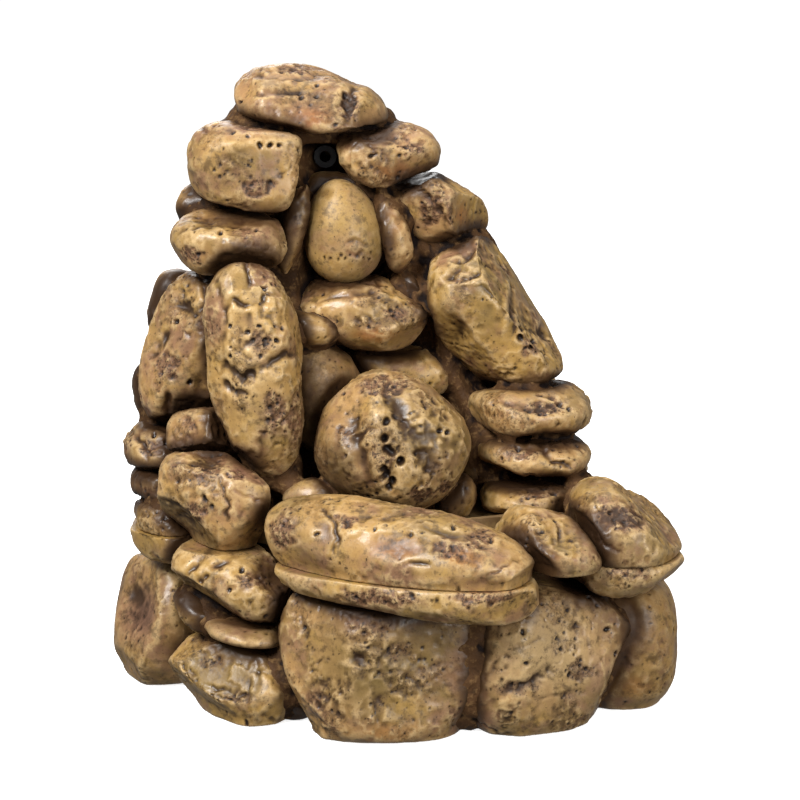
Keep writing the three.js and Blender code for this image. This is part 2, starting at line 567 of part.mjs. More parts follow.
function pumpHousing() {
  const well = rod("x", ROTOR.radius + RUNNING, MOTOR_LEFT - 1, ROTOR_RIGHT + 1, AXIS, 24);
  const socket = rod("x", ROTOR.shaft + 0.15, ROTOR_RIGHT, SHAFT_RIGHT + 0.3, AXIS);
  let housing = pumpBody(MOTOR_LEFT, MOTOR_RIGHT);
  for (let i = 0; i < COOLING_SLOTS.count; i++) {
    const x = MOTOR_LEFT + COOLING_SLOTS.first + i * COOLING_SLOTS.pitch;
    const slot = box(COOLING_SLOTS.width, PUMP.width - 12, 2, x, PUMP.y, PUMP_FOOT + PUMP.height);
    housing = housing.subtract(slot);
  }
  return housing.subtract(well).subtract(socket);
}

// The cover over the blades, with the barb that the hose is pushed on to. A bar across the intake holds
// the shaft's end.
function voluteCover() {
  const chamber = rod("x", ROTOR.bladeRadius + 1.5, VOLUTE_LEFT + 4, VOLUTE_RIGHT + 1, AXIS, 32);
  const bar = box(4, INTAKE.bar, 30, VOLUTE_LEFT + 2, ...AXIS);
  const intake = rod("x", INTAKE.radius, VOLUTE_LEFT - 1, VOLUTE_LEFT + 5, AXIS, 24).subtract(bar);
  const socket = rod("x", ROTOR.shaft + 0.15, SHAFT_LEFT - 0.3, VOLUTE_LEFT + 5, AXIS);
  const outlet = [PUMP.x, PUMP.y];
  const top = PUMP_FOOT + PUMP.height;
  const barb = rod("z", HOSE.bore - GAP, top - 1, HOSE.foot + 12, outlet, 16);
  const neck = rod("z", HOSE.outer, top - 1, HOSE.foot - GAP, outlet, 16);
  const bore = rod("z", HOSE.bore - 1.5, PUMP_Z + 5, HOSE.foot + 15, outlet, 12);
  const body = pumpBody(VOLUTE_LEFT, VOLUTE_RIGHT).add(neck).add(barb);
  return body.subtract(chamber).subtract(intake).subtract(socket).subtract(bore);
}

// The magnet and its blades in one moulding, free on the shaft.
function impeller() {
  const hubLeft = VOLUTE_LEFT + 5;
  const hub = rod("x", 4, hubLeft, ROTOR_LEFT + 1, AXIS, 20);
  const magnet = rod("x", ROTOR.radius, ROTOR_LEFT, ROTOR_RIGHT, AXIS, 24);
  let rotor = hub.add(magnet);
  for (let i = 0; i < ROTOR.bladeCount; i++) {
    const width = VOLUTE_RIGHT - hubLeft - 1;
    const blade = new THREE.BoxGeometry(width, ROTOR.bladeThick, ROTOR.bladeRadius - 2);
    blade.translate((hubLeft + VOLUTE_RIGHT - 1) / 2, 0, (ROTOR.bladeRadius + 2) / 2);
    blade.rotateX((i / ROTOR.bladeCount) * 2 * Math.PI).translate(0, ...AXIS);
    rotor = rotor.add(solid(blade));
  }
  return rotor.subtract(rod("x", ROTOR.shaft + 0.12, hubLeft - 5, ROTOR_RIGHT + 5, AXIS));
}

// A slotted cap over the intake. It pulls off for cleaning.
const GRILLE_RIGHT = VOLUTE_LEFT - GAP;
const GRILLE_LEFT = GRILLE_RIGHT - GRILLE.length;
const SLIDER_Z = PUMP_Z - 8;

function intakeGrille() {
  const inside = pumpBody(GRILLE_LEFT + GRILLE.wall, GRILLE_RIGHT + 1, GRILLE.wall);
  let grille = pumpBody(GRILLE_LEFT, GRILLE_RIGHT).subtract(inside);
  for (let i = 0; i < INTAKE.slots; i++) {
    const y = PUMP.y + (i - (INTAKE.slots - 1) / 2) * INTAKE.slotPitch;
    grille = grille.subtract(box(10, INTAKE.slotWidth, INTAKE.slotHeight, GRILLE_LEFT, y, PUMP_Z + 5));
  }
  const slot = box(10, SLIDER.travel + SLIDER.width + 1, SLIDER.height, GRILLE_LEFT, PUMP.y, SLIDER_Z);
  return grille.subtract(slot);
}

// The flow control: a knob outside the grille and a shutter inside it, joined through a slot.
function flowSlider() {
  const y = PUMP.y - SLIDER.travel / 2;
  const z = SLIDER_Z;
  const inner = GRILLE_LEFT + GRILLE.wall + GAP;
  const outer = GRILLE_LEFT - GAP;
  const stem = box(inner - outer + 1, SLIDER.width, SLIDER.height - 0.8, (inner + outer) / 2, y, z);
  const knob = box(2.4, SLIDER.width + 1, 8, outer - 1.2, y, z);
  const shutter = box(1.6, SLIDER.width + 4, 10, inner + 0.8, y, z);
  return stem.add(knob).add(shutter);
}

// The rubber sleeve where the lead enters the motor, with its bore.
function cordGland() {
  const place = [MOTOR_RIGHT - GLAND.inset, PUMP_Z + GLAND.rise];
  const back = PUMP.y + PUMP.width / 2 + GAP;
  const sleeve = rod("y", GLAND.radius, back, back + GLAND.length, place, 16);
  return sleeve.subtract(rod("y", GLAND.bore, back + 2, back + GLAND.length + 1, place, 12));
}

function suctionCup(x, y) {
  const profile = [
    [0, 2.6],
    [CUP.radius - 2, 0],
    [CUP.radius, 0],
    [CUP.radius - 1, 1.4],
    [5, 3.4],
    [5, CUP.height],
    [0, CUP.height],
  ];
  return turned(profile, x, y, BOWL.floor + GAP, 16);
}

// ---- The whole fountain ----

const fountain = new THREE.Group();
const basin = new THREE.Group();
const tower = new THREE.Group();
const pump = new THREE.Group();
basin.add(pump);
fountain.add(basin, tower);

const STONE_GROUPS = { basin, tower };
for (const { name, body, casting, at } of shapeStones()) {
  const material = name.includes("lip") || name === "egg_stone" ? MATERIALS.paleStone : MATERIALS.stone;
  STONE_GROUPS[casting].add(part(name, body, material, at));
}

basin.add(part("basin_shell", basinShell(), MATERIALS.casting));
tower.add(part("splash_tray", splashTray(), MATERIALS.casting, [BOWL.x, BOWL.y, SEAM_Z]));
tower.add(part("tower_shell", towerShell(), MATERIALS.casting, [NICHE[0].x, NICHE[0].y, TRAY_TOP]));
tower.add(part("outlet_hose", outletHose(), MATERIALS.vinyl, HOSE_ROUTE[0]));
tower.add(part("spout_elbow", spoutElbow(), MATERIALS.pumpPlastic, [SPOUT.x, SPOUT.tip, SPOUT.z]));

const pumpAt = [PUMP.x, ...AXIS];
const shaft = rod("x", ROTOR.shaft, SHAFT_LEFT, SHAFT_RIGHT, AXIS, 12);
pump.add(part("pump_housing", pumpHousing(), MATERIALS.pumpPlastic, pumpAt));
pump.add(part("volute_cover", voluteCover(), MATERIALS.pumpPlastic, pumpAt));
pump.add(part("impeller_shaft", shaft, MATERIALS.ceramic, pumpAt));
pump.add(part("impeller", impeller(), MATERIALS.magnet, pumpAt));
pump.add(part("intake_grille", intakeGrille(), MATERIALS.pumpBlue, pumpAt));
pump.add(part("flow_slider", flowSlider(), MATERIALS.pumpPlastic, pumpAt));
pump.add(part("cord_gland", cordGland(), MATERIALS.rubber, pumpAt));

[VOLUTE_LEFT + 9, MOTOR_RIGHT - 9].forEach((x, i) => {
  const cup = suctionCup(x, PUMP.y);
  pump.add(part(`suction_cup_${i + 1}`, cup, MATERIALS.rubber, [x, PUMP.y, BOWL.floor]));
});

export default fountain;
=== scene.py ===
"""A tabletop water fountain made to look like stacked river stones: cast resin, painted in ochre and umber.

Each stone is grown from its CAD solid: remeshed fine, rounded, then carved with facets, creases, cracks and
pits. The carving also leaves vertex attributes that the paint reads: how hollow a place is, how near it is
to another stone, and where each wash of colour lies. The hollows, creases, pits and the edges near another
stone are darkened partly as an umber wash and partly as painted shade, and some marks are painted shade,
painted warm bounce light and painted light. Lengths are millimetres unless a comment says metres.
"""

import json
import math

import bmesh
import bpy
import numpy as np
import openvdb
from mathutils import Euler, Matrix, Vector


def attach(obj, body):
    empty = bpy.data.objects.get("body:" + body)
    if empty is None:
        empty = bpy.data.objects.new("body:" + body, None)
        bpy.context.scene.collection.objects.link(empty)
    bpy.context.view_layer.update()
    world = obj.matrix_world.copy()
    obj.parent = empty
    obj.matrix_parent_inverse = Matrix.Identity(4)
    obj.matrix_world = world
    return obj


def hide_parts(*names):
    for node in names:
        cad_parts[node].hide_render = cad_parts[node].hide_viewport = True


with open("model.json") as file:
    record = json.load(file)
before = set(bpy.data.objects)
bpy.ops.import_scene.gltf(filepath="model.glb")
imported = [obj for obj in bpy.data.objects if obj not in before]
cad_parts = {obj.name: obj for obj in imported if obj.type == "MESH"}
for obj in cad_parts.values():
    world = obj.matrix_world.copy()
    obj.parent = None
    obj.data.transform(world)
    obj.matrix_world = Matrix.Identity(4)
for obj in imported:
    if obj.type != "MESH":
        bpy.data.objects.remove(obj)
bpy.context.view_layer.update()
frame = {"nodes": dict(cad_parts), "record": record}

MM = 0.001  # Blender works in metres
NODES = frame["nodes"]
BODIES = frame["record"]["behaviour"]["bodies"]

# The camera, as the photograph was taken.
VIEW_ELEVATION = 13.0
VIEW_DISTANCE = 1100.0
VIEW_TARGET = (0.0, 0.0, 128.0)
LENS = 108.8

# The parting line: the tower's stones start above it, the basin's end below it.
TOWER_FLOOR = 73.15
BASIN_TOP = 72.85

FINE = 0.8  # size of the quads on the stones that face the viewer
COARSE = 1.15  # and on those behind
ROUNDING = 2.4  # how far the smoothing softens a stone's edges
LUMP_SEED = 11
CREVICE_REACH = 13.0  # how far from a neighbour a stone still gets painted shade, partly an umber wash
CREVICE_CUT = 5.0  # and how far it is drawn in
CREVICE_DEPTH = 1.4
FACET_EDGE = 1.2  # how softly a shaved facet meets the rest
CHIP_EDGE = 1.8  # and a broad chipped face
CHIP_COUNT = 9
CHIPPED_WEAR = 0.5  # a stone with more wear than this is chipped
LUMP_SIZE = 23  # broad lumps, and the shallow hollows between them
LUMP_HEIGHT = 1.2
HOLLOW_SIZE = 27
HOLLOW_DEPTH = 2.4
CRACK_SIZE = 15  # fine jagged cracks
CRACK_DEPTH = 0.8
PATCH_SIZE = 14  # rough patches, and the grit on them
GRIT_SIZE = 2.2
GRIT_HEIGHT = 0.7
DEEPEST = 5.5  # no carving goes deeper than this, or stands out further than that
PROUDEST = 1.8
BROAD_REACH = 2.2  # a place is a hollow or a bump against the surface smoothed this far
FULL_HOLLOW = 0.9  # and this is a full one

MORTAR_CELL = 1.8  # the grid that the mortar is made on
MORTAR_BAND = 8.0  # how many cells round a surface know their distance from it
MORTAR_BLEND = 12.0  # the fillets between stones, and between stones and wall
WALL_BLEND = 7.0
MORTAR_SUNK = 2.6  # how far under a stone's face the mortar stays
MORTAR_SKIN = 0.4  # how far it stands out from the shell's wall
MORTAR_LUMPS = 0.8
WALL_LUMPS = 0.15  # the share of the lumps that is left on the bowl's wall and in the hollow
CRUMB_POINTS = 800  # a separate bit of mortar with fewer points than this is left out
BASIN_SHORT = 0.2  # how far the bowl's mortar stops short of the table and of the parting line
TOWER_SHORT = 0.3  # and the tower's of the parting line
OVER_ALL = 400.0  # a height over the whole fountain

FLOOR_SIDE = 6.0  # metres
FLOOR_GAP = 0.0006
AMBIENT = 0.23


# ---------------------------------------------------------------- noise


def lattice_hash(cells, seed):
    """One number from 0 to 1 for each whole-number cell."""
    x, y, z = (cells[:, k].astype(np.uint32) for k in range(3))
    h = x * np.uint32(374761393) + y * np.uint32(668265263) + z * np.uint32(2147483647)
    h += np.uint32((seed * 374761 + 1013904223) & 0xFFFFFFFF)
    h = (h ^ (h >> np.uint32(13))) * np.uint32(1274126177)
    h = (h ^ (h >> np.uint32(16))) * np.uint32(2246822519)
    return ((h ^ (h >> np.uint32(15))) & np.uint32(0xFFFFFF)) / float(0xFFFFFF)


class Lattice:
    """The cells that a set of points lies in, with one cell to spare all round, hashed once per cell
    where that is less work than once per point."""

    def __init__(self, points):
        self.cells = np.floor(points).astype(np.int64)
        self.start = self.cells.min(0) - 1
        self.counts = self.cells.max(0) - self.start + 3
        self.tabled = self.counts.prod() < 3 * len(points)
        self.rows = self.row(self.cells)

    def row(self, cells):
        x, y, z = (cells[:, k] - self.start[k] for k in range(3))
        return (x * self.counts[1] + y) * self.counts[2] + z

    def hashed(self, seed):
        """A function from a step to a neighbouring cell to that cell's number, for every point."""
        if not self.tabled:
            return lambda step: lattice_hash(self.cells + np.array(step), seed)
        grid = np.stack(np.meshgrid(*(np.arange(n) for n in self.counts), indexing="ij"), axis=-1)
        table = lattice_hash(grid.reshape(-1, 3) + self.start, seed)
        across = self.counts[1] * self.counts[2]
        return lambda step: table[self.rows + step[0] * across + step[1] * self.counts[2] + step[2]]


def value_noise(points, seed):
    """Smooth noise from -1 to 1 with features about one unit across."""
    lattice = Lattice(points)
    number = lattice.hashed(seed)
    part = points - lattice.cells
    part = part * part * part * (part * (part * 6 - 15) + 10)
    total = np.zeros(len(points))
    for dx in (0, 1):
        for dy in (0, 1):
            for dz in (0, 1):
                weight = (
                    (part[:, 0] if dx else 1 - part[:, 0])
                    * (part[:, 1] if dy else 1 - part[:, 1])
                    * (part[:, 2] if dz else 1 - part[:, 2])
                )
                total += weight * number((dx, dy, dz))
    return total * 2 - 1


def fractal(points, seed, octaves=4, gain=0.5):
    total = np.zeros(len(points))
    amount = 1.0
    for octave in range(octaves):
        total += amount * value_noise(points * 2.03**octave + 17.3 * octave, seed + octave)
        amount *= gain
    return total


def cell_distance(points, seed):
    """Distance to the nearest of the scattered points, one in each unit cell, and that point's own number."""
    lattice = Lattice(points)
    spots = [lattice.hashed(seed + k) for k in range(3)]
    own = lattice.hashed(seed + 7)
    part = points - lattice.cells
    nearest = np.full(len(points), 9.0)
    number = np.zeros(len(points))
    for dx in (-1, 0, 1):
        for dy in (-1, 0, 1):
            for dz in (-1, 0, 1):
                step = (dx, dy, dz)
                distance = sum((part[:, k] - step[k] - spots[k](step)) ** 2 for k in range(3))
                closer = distance < nearest
                nearest[closer] = distance[closer]
                number[closer] = own(step)[closer]
    return np.sqrt(nearest), number


def smoothstep(low, high, value):
    t = np.clip((value - low) / (high - low), 0, 1)
    return t * t * (3 - 2 * t)


# ---------------------------------------------------------------- meshes as arrays


class Shape:
    """A mesh as arrays: points in millimetres, the edges between them, and triangles for the normals."""

    def __init__(self, mesh):
        self.mesh = mesh
        count = len(mesh.vertices)
        flat = np.empty(count * 3, dtype=np.float32)
        mesh.vertices.foreach_get("co", flat)
        self.points = flat.reshape(-1, 3).astype(float) / MM
        edges = np.empty(len(mesh.edges) * 2, dtype=np.int32)
        mesh.edges.foreach_get("vertices", edges)
        self.edges = edges.reshape(-1, 2)
        self.degree = np.maximum(np.bincount(edges, minlength=count), 1)
        mesh.calc_loop_triangles()
        triangles = np.empty(len(mesh.loop_triangles) * 3, dtype=np.int32)
        mesh.loop_triangles.foreach_get("vertices", triangles)
        self.triangles = triangles.reshape(-1, 3)

    def neighbour_mean(self, values):
        first, second = self.edges[:, 0], self.edges[:, 1]
        total = np.empty_like(values)
        for k in range(values.shape[1]):
            column = values[:, k]
            total[:, k] = np.bincount(first, column[second], len(column))
            total[:, k] += np.bincount(second, column[first], len(column))
        return total / self.degree[:, None]

    def smoothed(self, rounds, values=None, share=0.6):
        values = (self.points if values is None else values).copy()
        for _ in range(rounds):
            values += share * (self.neighbour_mean(values) - values)
        return values

    def normals(self):
        a, b, c = (self.points[self.triangles[:, k]] for k in range(3))
        across = np.cross(b - a, c - a)
        total = np.zeros_like(self.points)
        for k in range(3):
            for axis in range(3):
                total[:, axis] += np.bincount(self.triangles[:, k], across[:, axis], len(total))
        return total / np.maximum(np.linalg.norm(total, axis=1, keepdims=True), 1e-12)

    def write(self, attributes):
        """Puts the points back in the mesh, with the given vertex attributes, and shades it smooth."""
        self.mesh.vertices.foreach_set("co", (self.points * MM).astype(np.float32).ravel())
        for key, values in attributes.items():
            layer = self.mesh.attributes.new(key, "FLOAT", "POINT")
            layer.data.foreach_set("value", np.asarray(values, dtype=np.float32))
        self.mesh.polygons.foreach_set("use_smooth", np.ones(len(self.mesh.polygons), dtype=bool))
        self.mesh.update()


def remeshed(mesh, voxel_mm):
    """The mesh rebuilt from even quads of about that size."""
    holder = bpy.data.objects.new("remesh_holder", mesh)
    bpy.context.scene.collection.objects.link(holder)
    modifier = holder.modifiers.new("voxels", "REMESH")
    modifier.mode = "VOXEL"
    modifier.voxel_size = voxel_mm * MM
    evaluated = holder.evaluated_get(bpy.context.evaluated_depsgraph_get())
    fine = bpy.data.meshes.new_from_object(evaluated)
    bpy.data.objects.remove(holder)
    return fine


def welded(mesh):
    """A copy of an imported mesh with its split corners joined again."""
    copy = bmesh.new()
    copy.from_mesh(mesh)
    bmesh.ops.remove_doubles(copy, verts=copy.verts, dist=1e-6)
    whole = bpy.data.meshes.new("welded")
    copy.to_mesh(whole)
    copy.free()
    return whole


def widen(mesh, wider, shift):
    """Stretches a mesh sideways about its middle and moves it to the right."""
    shape = Shape(mesh)
    middle = (shape.points[:, 0].min() + shape.points[:, 0].max()) / 2
    shape.points[:, 0] = middle + shift + wider * (shape.points[:, 0] - middle)
    shape.write({})


def egg_mesh(size, at, turn=(0, 0, 0), square=2.5, taper=0.0):
    """A rounded stone with no CAD solid of its own, narrower at its top by the taper. Angles are degrees."""
    ball = bmesh.new()
    bmesh.ops.create_icosphere(ball, subdivisions=3, radius=1)
    facing = Euler([math.radians(angle) for angle in turn], "XYZ").to_matrix()
    for vertex in ball.verts:
        total = sum(abs(k) ** square for k in vertex.co) ** (-1 / square)
        narrowing = 1 - taper * vertex.co.z
        spread = Vector([k * total * s / 2 for k, s in zip(vertex.co, size)])
        spread = Vector([spread.x * narrowing, spread.y * narrowing, spread.z])
        vertex.co = (facing @ spread + Vector(at)) * MM
    mesh = bpy.data.meshes.new("egg")
    ball.to_mesh(mesh)
    ball.free()
    return mesh


def planes_of(mesh):
    """The planes of a convex mesh, in millimetres: outward normals and offsets."""
    faces = [(face.normal.normalized(), face.center / MM) for face in mesh.polygons if face.area > 1e-8]
    normals = np.array([normal[:] for normal, _ in faces])
    offsets = np.array([normal.dot(centre) for normal, centre in faces])
    _, kept = np.unique(np.round(np.column_stack([normals, offsets]), 2), axis=0, return_index=True)
    return normals[kept], offsets[kept]


class Block:
    """A convex stone as planes, with the box round it, for asking how far points are from it."""

    def __init__(self, name, mesh):
        self.name = name
        self.normals, self.offsets = planes_of(mesh)
        corners = np.array([vertex.co[:] for vertex in mesh.vertices]) / MM
        self.low, self.high = corners.min(0), corners.max(0)

    def distance(self, points, reach):
        """Millimetres outside the stone (negative inside), or reach where a point is further off."""
        result = np.full(len(points), float(reach))
        near = ((points > self.low - reach) & (points < self.high + reach)).all(axis=1)
        found = np.flatnonzero(near)
        for part in np.array_split(found, max(1, len(found) // 20000)):
            far = points[part] @ self.normals.T - self.offsets
            result[part] = np.minimum(far.max(axis=1), reach)
        return result


# ---------------------------------------------------------------- carving

TO_VIEWER = np.array([0.0, -math.cos(math.radians(VIEW_ELEVATION)), math.sin(math.radians(VIEW_ELEVATION))])
VIEW_UP = np.array([0.0, math.sin(math.radians(VIEW_ELEVATION)), math.cos(math.radians(VIEW_ELEVATION))])
TINTS = ("pink", "gold", "orange", "dark", "olive", "pale")


class Carver:
    """One stone while it is carved. Marks are placed by u, v on the stone's front: -1 to 1 from left to
    right and from bottom to top. Their widths and depths are millimetres."""

    def __init__(self, shape, seed):
        self.seed = seed
        self.points = shape.points
        self.normals = shape.normals()
        across, up = self.points[:, 0], self.points @ VIEW_UP
        self.middle = np.array([(across.min() + across.max()) / 2, (up.min() + up.max()) / 2])
        self.half = np.array([np.ptp(across) / 2, np.ptp(up) / 2])
        self.front = np.column_stack([across, up]) - self.middle
        self.facing = smoothstep(-0.15, 0.3, self.normals @ TO_VIEWER)
        wander = [value_noise(self.points / 3.1 + 9, seed + k) for k in (1, 2)]
        self.wander = np.column_stack(wander)
        self.push = np.zeros(len(self.points))
        self.rough = np.zeros(len(self.points))
        self.pits = np.zeros(len(self.points))
        self.tint = {name: np.zeros(len(self.points)) for name in TINTS}

    def near(self, u, v, wide, high, wiggle=0.8):
        """1 at a place on the front, falling to 0 at an oval edge whose half sizes are in millimetres."""
        away = (self.front + wiggle * self.wander - np.array([u, v]) * self.half) / np.array([wide, high])
        return smoothstep(1.0, 0.0, np.hypot(away[:, 0], away[:, 1])) * self.facing

    def along(self, line, wiggle=0.8):
        """Distance on the front from a line of u, v points, and how far along it the nearest place is."""
        warped = self.front + wiggle * self.wander
        ends = np.array(line) * self.half
        best = np.full(len(warped), 99.0)
        share = np.zeros(len(warped))
        for k, (start, end) in enumerate(zip(ends[:-1], ends[1:])):
            step = end - start
            t = np.clip((warped - start) @ step / max(step @ step, 1e-9), 0, 1)
            away = np.linalg.norm(warped - start - t[:, None] * step, axis=1)
            closer = away < best
            best[closer] = away[closer]
            share[closer] = (k + t[closer]) / (len(ends) - 1)
        return best, share

    def groove(self, line, depth=1.6, width=1.8, wiggle=0.8, taper=0.5, dark=0.6):
        """A crease that is deepest in its middle, darkened there by painted shade, partly an umber wash; a
        negative depth makes a ridge.
        """
        away, share = self.along(line, wiggle)
        uneven = value_noise(self.points / max(3.6, 2.5 * width), self.seed + 12)
        broken = 0.6 + 0.4 * smoothstep(-0.3, 0.3, uneven)
        strength = (1 - taper * np.abs(2 * share - 1) ** 3) * self.facing * broken
        self.push -= depth * strength * np.exp(-((away / width) ** 2))
        if depth > 0:
            self.tint["dark"] += dark * (2 * broken - 1) * strength * np.exp(-((away / (0.75 * width)) ** 2))
        else:
            self.tint["gold"] += 0.5 * strength * np.exp(-((away / width) ** 2))

    def crack(self, line, depth=1.2, width=0.7):
        # the crack's dark: painted shade in the crack, partly an umber wash
        self.groove(line, depth, width, wiggle=1.3, taper=0.7, dark=0.9)

    def dent(self, u, v, wide, high, depth=2.0, dark=0.0):
        share = self.near(u, v, wide, high, 0.5)
        self.push -= depth * share
        # a dent's dark: painted shade in the dent
        self.tint["dark"] += dark * share

    def hole(self, u, v, radius=1.2, depth=1.8):
        share = self.near(u, v, radius * 1.5, radius * 1.5, 0.7)
        self.push -= depth * smoothstep(0.1, 0.75, share)
        self.pits = np.maximum(self.pits, smoothstep(0.15, 0.7, share))

    def holes(self, radius, depth, *places):
        for u, v in places:
            self.hole(u, v, radius, depth)

    def worn(self, u, v, wide, high, strength=1.0):
        """A rough, pitted, pinkish brown patch."""
        share = self.near(u, v, wide, high, 2.2) * strength
        self.rough = np.maximum(self.rough, smoothstep(0.08, 0.5, share))
        self.tint["pink"] += 0.8 * smoothstep(0.0, 0.6, share)

    def colour(self, name, u, v, wide, high, strength=1.0):
        self.tint[name] += strength * self.near(u, v, wide, high, 1.6)

    def facet(self, u, v, depth=2.0, turn=0, tilt=0, tint=None):
        """Shaves the stone by a plane that lies that deep under the surface at u, v, square to it unless it
        is turned to the right or tilted up by some degrees."""
        away = np.hypot(*(self.front - np.array([u, v]) * self.half).T) + 99 * (self.facing < 0.4)
        here = away < max(5.0, away.min() + 2)
        square = self.normals[here].mean(axis=0)
        square = square + math.tan(math.radians(turn)) * np.array([1.0, 0, 0])
        square = square + math.tan(math.radians(tilt)) * VIEW_UP
        square = square / np.linalg.norm(square)
        height = self.points @ square
        if tint:
            self.tint[tint] += 0.8 * smoothstep(-0.5, 1.5, height - height.max() + depth)
        self.shave(square, height.max() - height[here].max() + depth, FACET_EDGE)

    def finish_pits(self, amount):
        """Scattered small holes: few on smooth skin, crowded on worn patches."""
        skin = smoothstep(0.3, 0.8, value_noise(self.points / 15, self.seed + 40) * 0.5 + 0.5)
        for size, depth, share, offset in ((3.4, 1.2, 0.13, 50), (2.1, 0.9, 0.2, 60)):
            away, number = cell_distance(self.points / size, self.seed + offset)
            present = number < (share * amount * skin + 0.42 * self.rough)
            radius = 0.2 + 0.22 * ((number * 57.3) % 1)
            pit = smoothstep(radius, radius * 0.45, away) * present
            self.push -= depth * pit * (0.6 + 0.5 * self.rough)
            self.pits = np.maximum(self.pits, pit)
        grit = fractal(self.points / GRIT_SIZE, self.seed + 70, octaves=3)
        self.push += GRIT_HEIGHT * self.rough * grit - GRIT_HEIGHT / 2 * self.rough

    def shave(self, square, depth, edge):
        """Cuts the stone by a plane, square to that direction, that deep under its furthest point."""
        over = self.points @ square - (self.points @ square).max() + depth
        soft = np.where(over > edge, over, (over + edge) ** 2 / (4 * edge))
        self.points = self.points - np.where(over > -edge, soft, 0)[:, None] * square

    def chip_faces(self, count=CHIP_COUNT):
        """Broad flat faces, as a river leaves on a broken stone."""
        numbers = lattice_hash(np.arange(count * 4).reshape(-1, 1) * np.array([[1, 3, 7]]), self.seed + 90)
        for x, y, z, deep in numbers.reshape(count, 4):
            square = np.array([x, y, z]) * 2 - 1
            square = square / max(np.linalg.norm(square), 0.2)
            size = np.ptp(self.points @ square)
            self.shave(square, size * (0.01 + 0.05 * deep), CHIP_EDGE)

    def lift_skin(self, relief):
        """Broad lumps, shallow hollows with soft ridges between them, and fine jagged cracks."""
        bent = self.points + 3.5 * np.column_stack([self.wander, self.wander[:, :1]])
        self.push += LUMP_HEIGHT * relief * value_noise(self.points / LUMP_SIZE, LUMP_SEED)
        hollows, number = cell_distance(bent / HOLLOW_SIZE, self.seed + 30)
        self.push += HOLLOW_DEPTH * relief * (smoothstep(0.05, 0.85, hollows) - 0.6) * (0.3 + number)
        line = np.abs(fractal(self.points / CRACK_SIZE, self.seed + 24, octaves=4))
        broken = smoothstep(0.15, 0.5, value_noise(self.points / 12, self.seed + 26))
        crack = smoothstep(0.05, 0.0, line) * broken
        self.push -= CRACK_DEPTH * relief * crack
        # the cracks darkened: painted shade in them, partly an umber wash
        self.tint["dark"] += 0.9 * crack
        patches = fractal(self.points / PATCH_SIZE, self.seed + 80, octaves=3)
        self.rough = np.maximum(self.rough, 0.6 * relief * smoothstep(0.25, 0.6, patches))


def crevice_cut(carver, blocks):
    """Draws the edges in where a stone meets its neighbours, and says how close each point is to one."""
    nearest = np.full(len(carver.points), CREVICE_REACH)
    low, high = carver.points.min(0), carver.points.max(0)
    for block in blocks:
        if (block.low < high + CREVICE_REACH).all() and (block.high > low - CREVICE_REACH).all():
            nearest = np.minimum(nearest, block.distance(carver.points, CREVICE_REACH))
    carver.push -= CREVICE_DEPTH * smoothstep(CREVICE_CUT, 0.2, nearest) ** 2
    # how near a neighbour is: the paint turns this into painted shade between the stones, partly an umber
    # wash
    return smoothstep(CREVICE_REACH, 0.2, nearest)


def held_at_seam(points, before, lowest, highest):
    """Keeps the casting's flat faces flat: no point goes past them, and their edges stay crisp."""
    for level in (lowest, highest):
        if level is None:
            continue
        share = smoothstep(2.5, 0.2, np.abs(before[:, 2] - level))
        points[:, 2] += share * (before[:, 2] - points[:, 2])
    if lowest is not None:
        points[:, 2] = np.maximum(points[:, 2], lowest)
    if highest is not None:
        points[:, 2] = np.minimum(points[:, 2], highest)
    return points


def carved_stone(name, mesh, body, marks, blocks, settings, cad_node):
    """Turns a plain convex stone into a finished one, as an object that rides on its casting. The settings
    are its quad size, its seed, the levels it keeps to, and how strong the wear on it is."""
    voxel, seed, levels, relief = settings
    shape = Shape(remeshed(mesh, voxel))
    original = shape.points.copy()
    rounds = int((ROUNDING / voxel) ** 2 * 3.4)
    shape.points = shape.smoothed(rounds)
    carver = Carver(shape, seed)
    if relief > CHIPPED_WEAR:
        carver.chip_faces()
    for mark in marks.get("facet", ()):
        carver.facet(*mark)
    shape.points = carver.points
    carver.lift_skin(relief)
    for kind, rows in marks.items():
        for row in rows:
            if kind in TINTS:
                carver.colour(kind, *row)
            elif kind != "facet":
                getattr(carver, kind)(*row)
    closeness = crevice_cut(carver, blocks) * (0.3 + 0.7 * relief)
    carver.finish_pits(relief)
    carver.push = np.clip(carver.push, -DEEPEST, PROUDEST)
    shape.points = carver.points + carver.push[:, None] * carver.normals
    shape.points = shape.smoothed(1, share=0.35)
    shape.points = held_at_seam(shape.points, original, *levels)
    broad = shape.smoothed(int((BROAD_REACH / voxel) ** 2 * 3))
    hollow = ((broad - shape.points) * shape.normals()).sum(axis=1)
    # hollow, crevice and sunk darken the paint, partly as an umber wash and partly as painted shade; the
    # dark, orange and pale tints carry painted shade, painted warm bounce light and painted light
    attributes = {
        "hollow": np.clip(hollow / FULL_HOLLOW, -1, 1),
        "crevice": closeness,
        "sunk": np.clip(-carver.push / 3, 0, 1),
        "rough": np.clip(carver.rough, 0, 1),
        "pits": np.clip(carver.pits, 0, 1),
        "tone": np.full(len(hollow), lattice_hash(np.array([[seed, 3, 5]]), 7)[0]),
    }
    for tint, values in carver.tint.items():
        attributes[tint] = np.clip(shape.smoothed(2, values[:, None])[:, 0], 0, 1)
    shape.write(attributes)
    return placed(name, shape.mesh, STONE_PAINT, body, cad_node)


def placed(name, mesh, material, body, cad_node):
    """Makes the object, hangs it on the body that it rides on, and hides the CAD node that it stands for, if
    any.
    """
    mesh.materials.clear()
    mesh.materials.append(material)
    piece = bpy.data.objects.new(name, mesh)
    bpy.context.scene.collection.objects.link(piece)
    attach(piece, body)
    if cad_node:
        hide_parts(cad_node)
    return piece


# ---------------------------------------------------------------- mortar between the stones


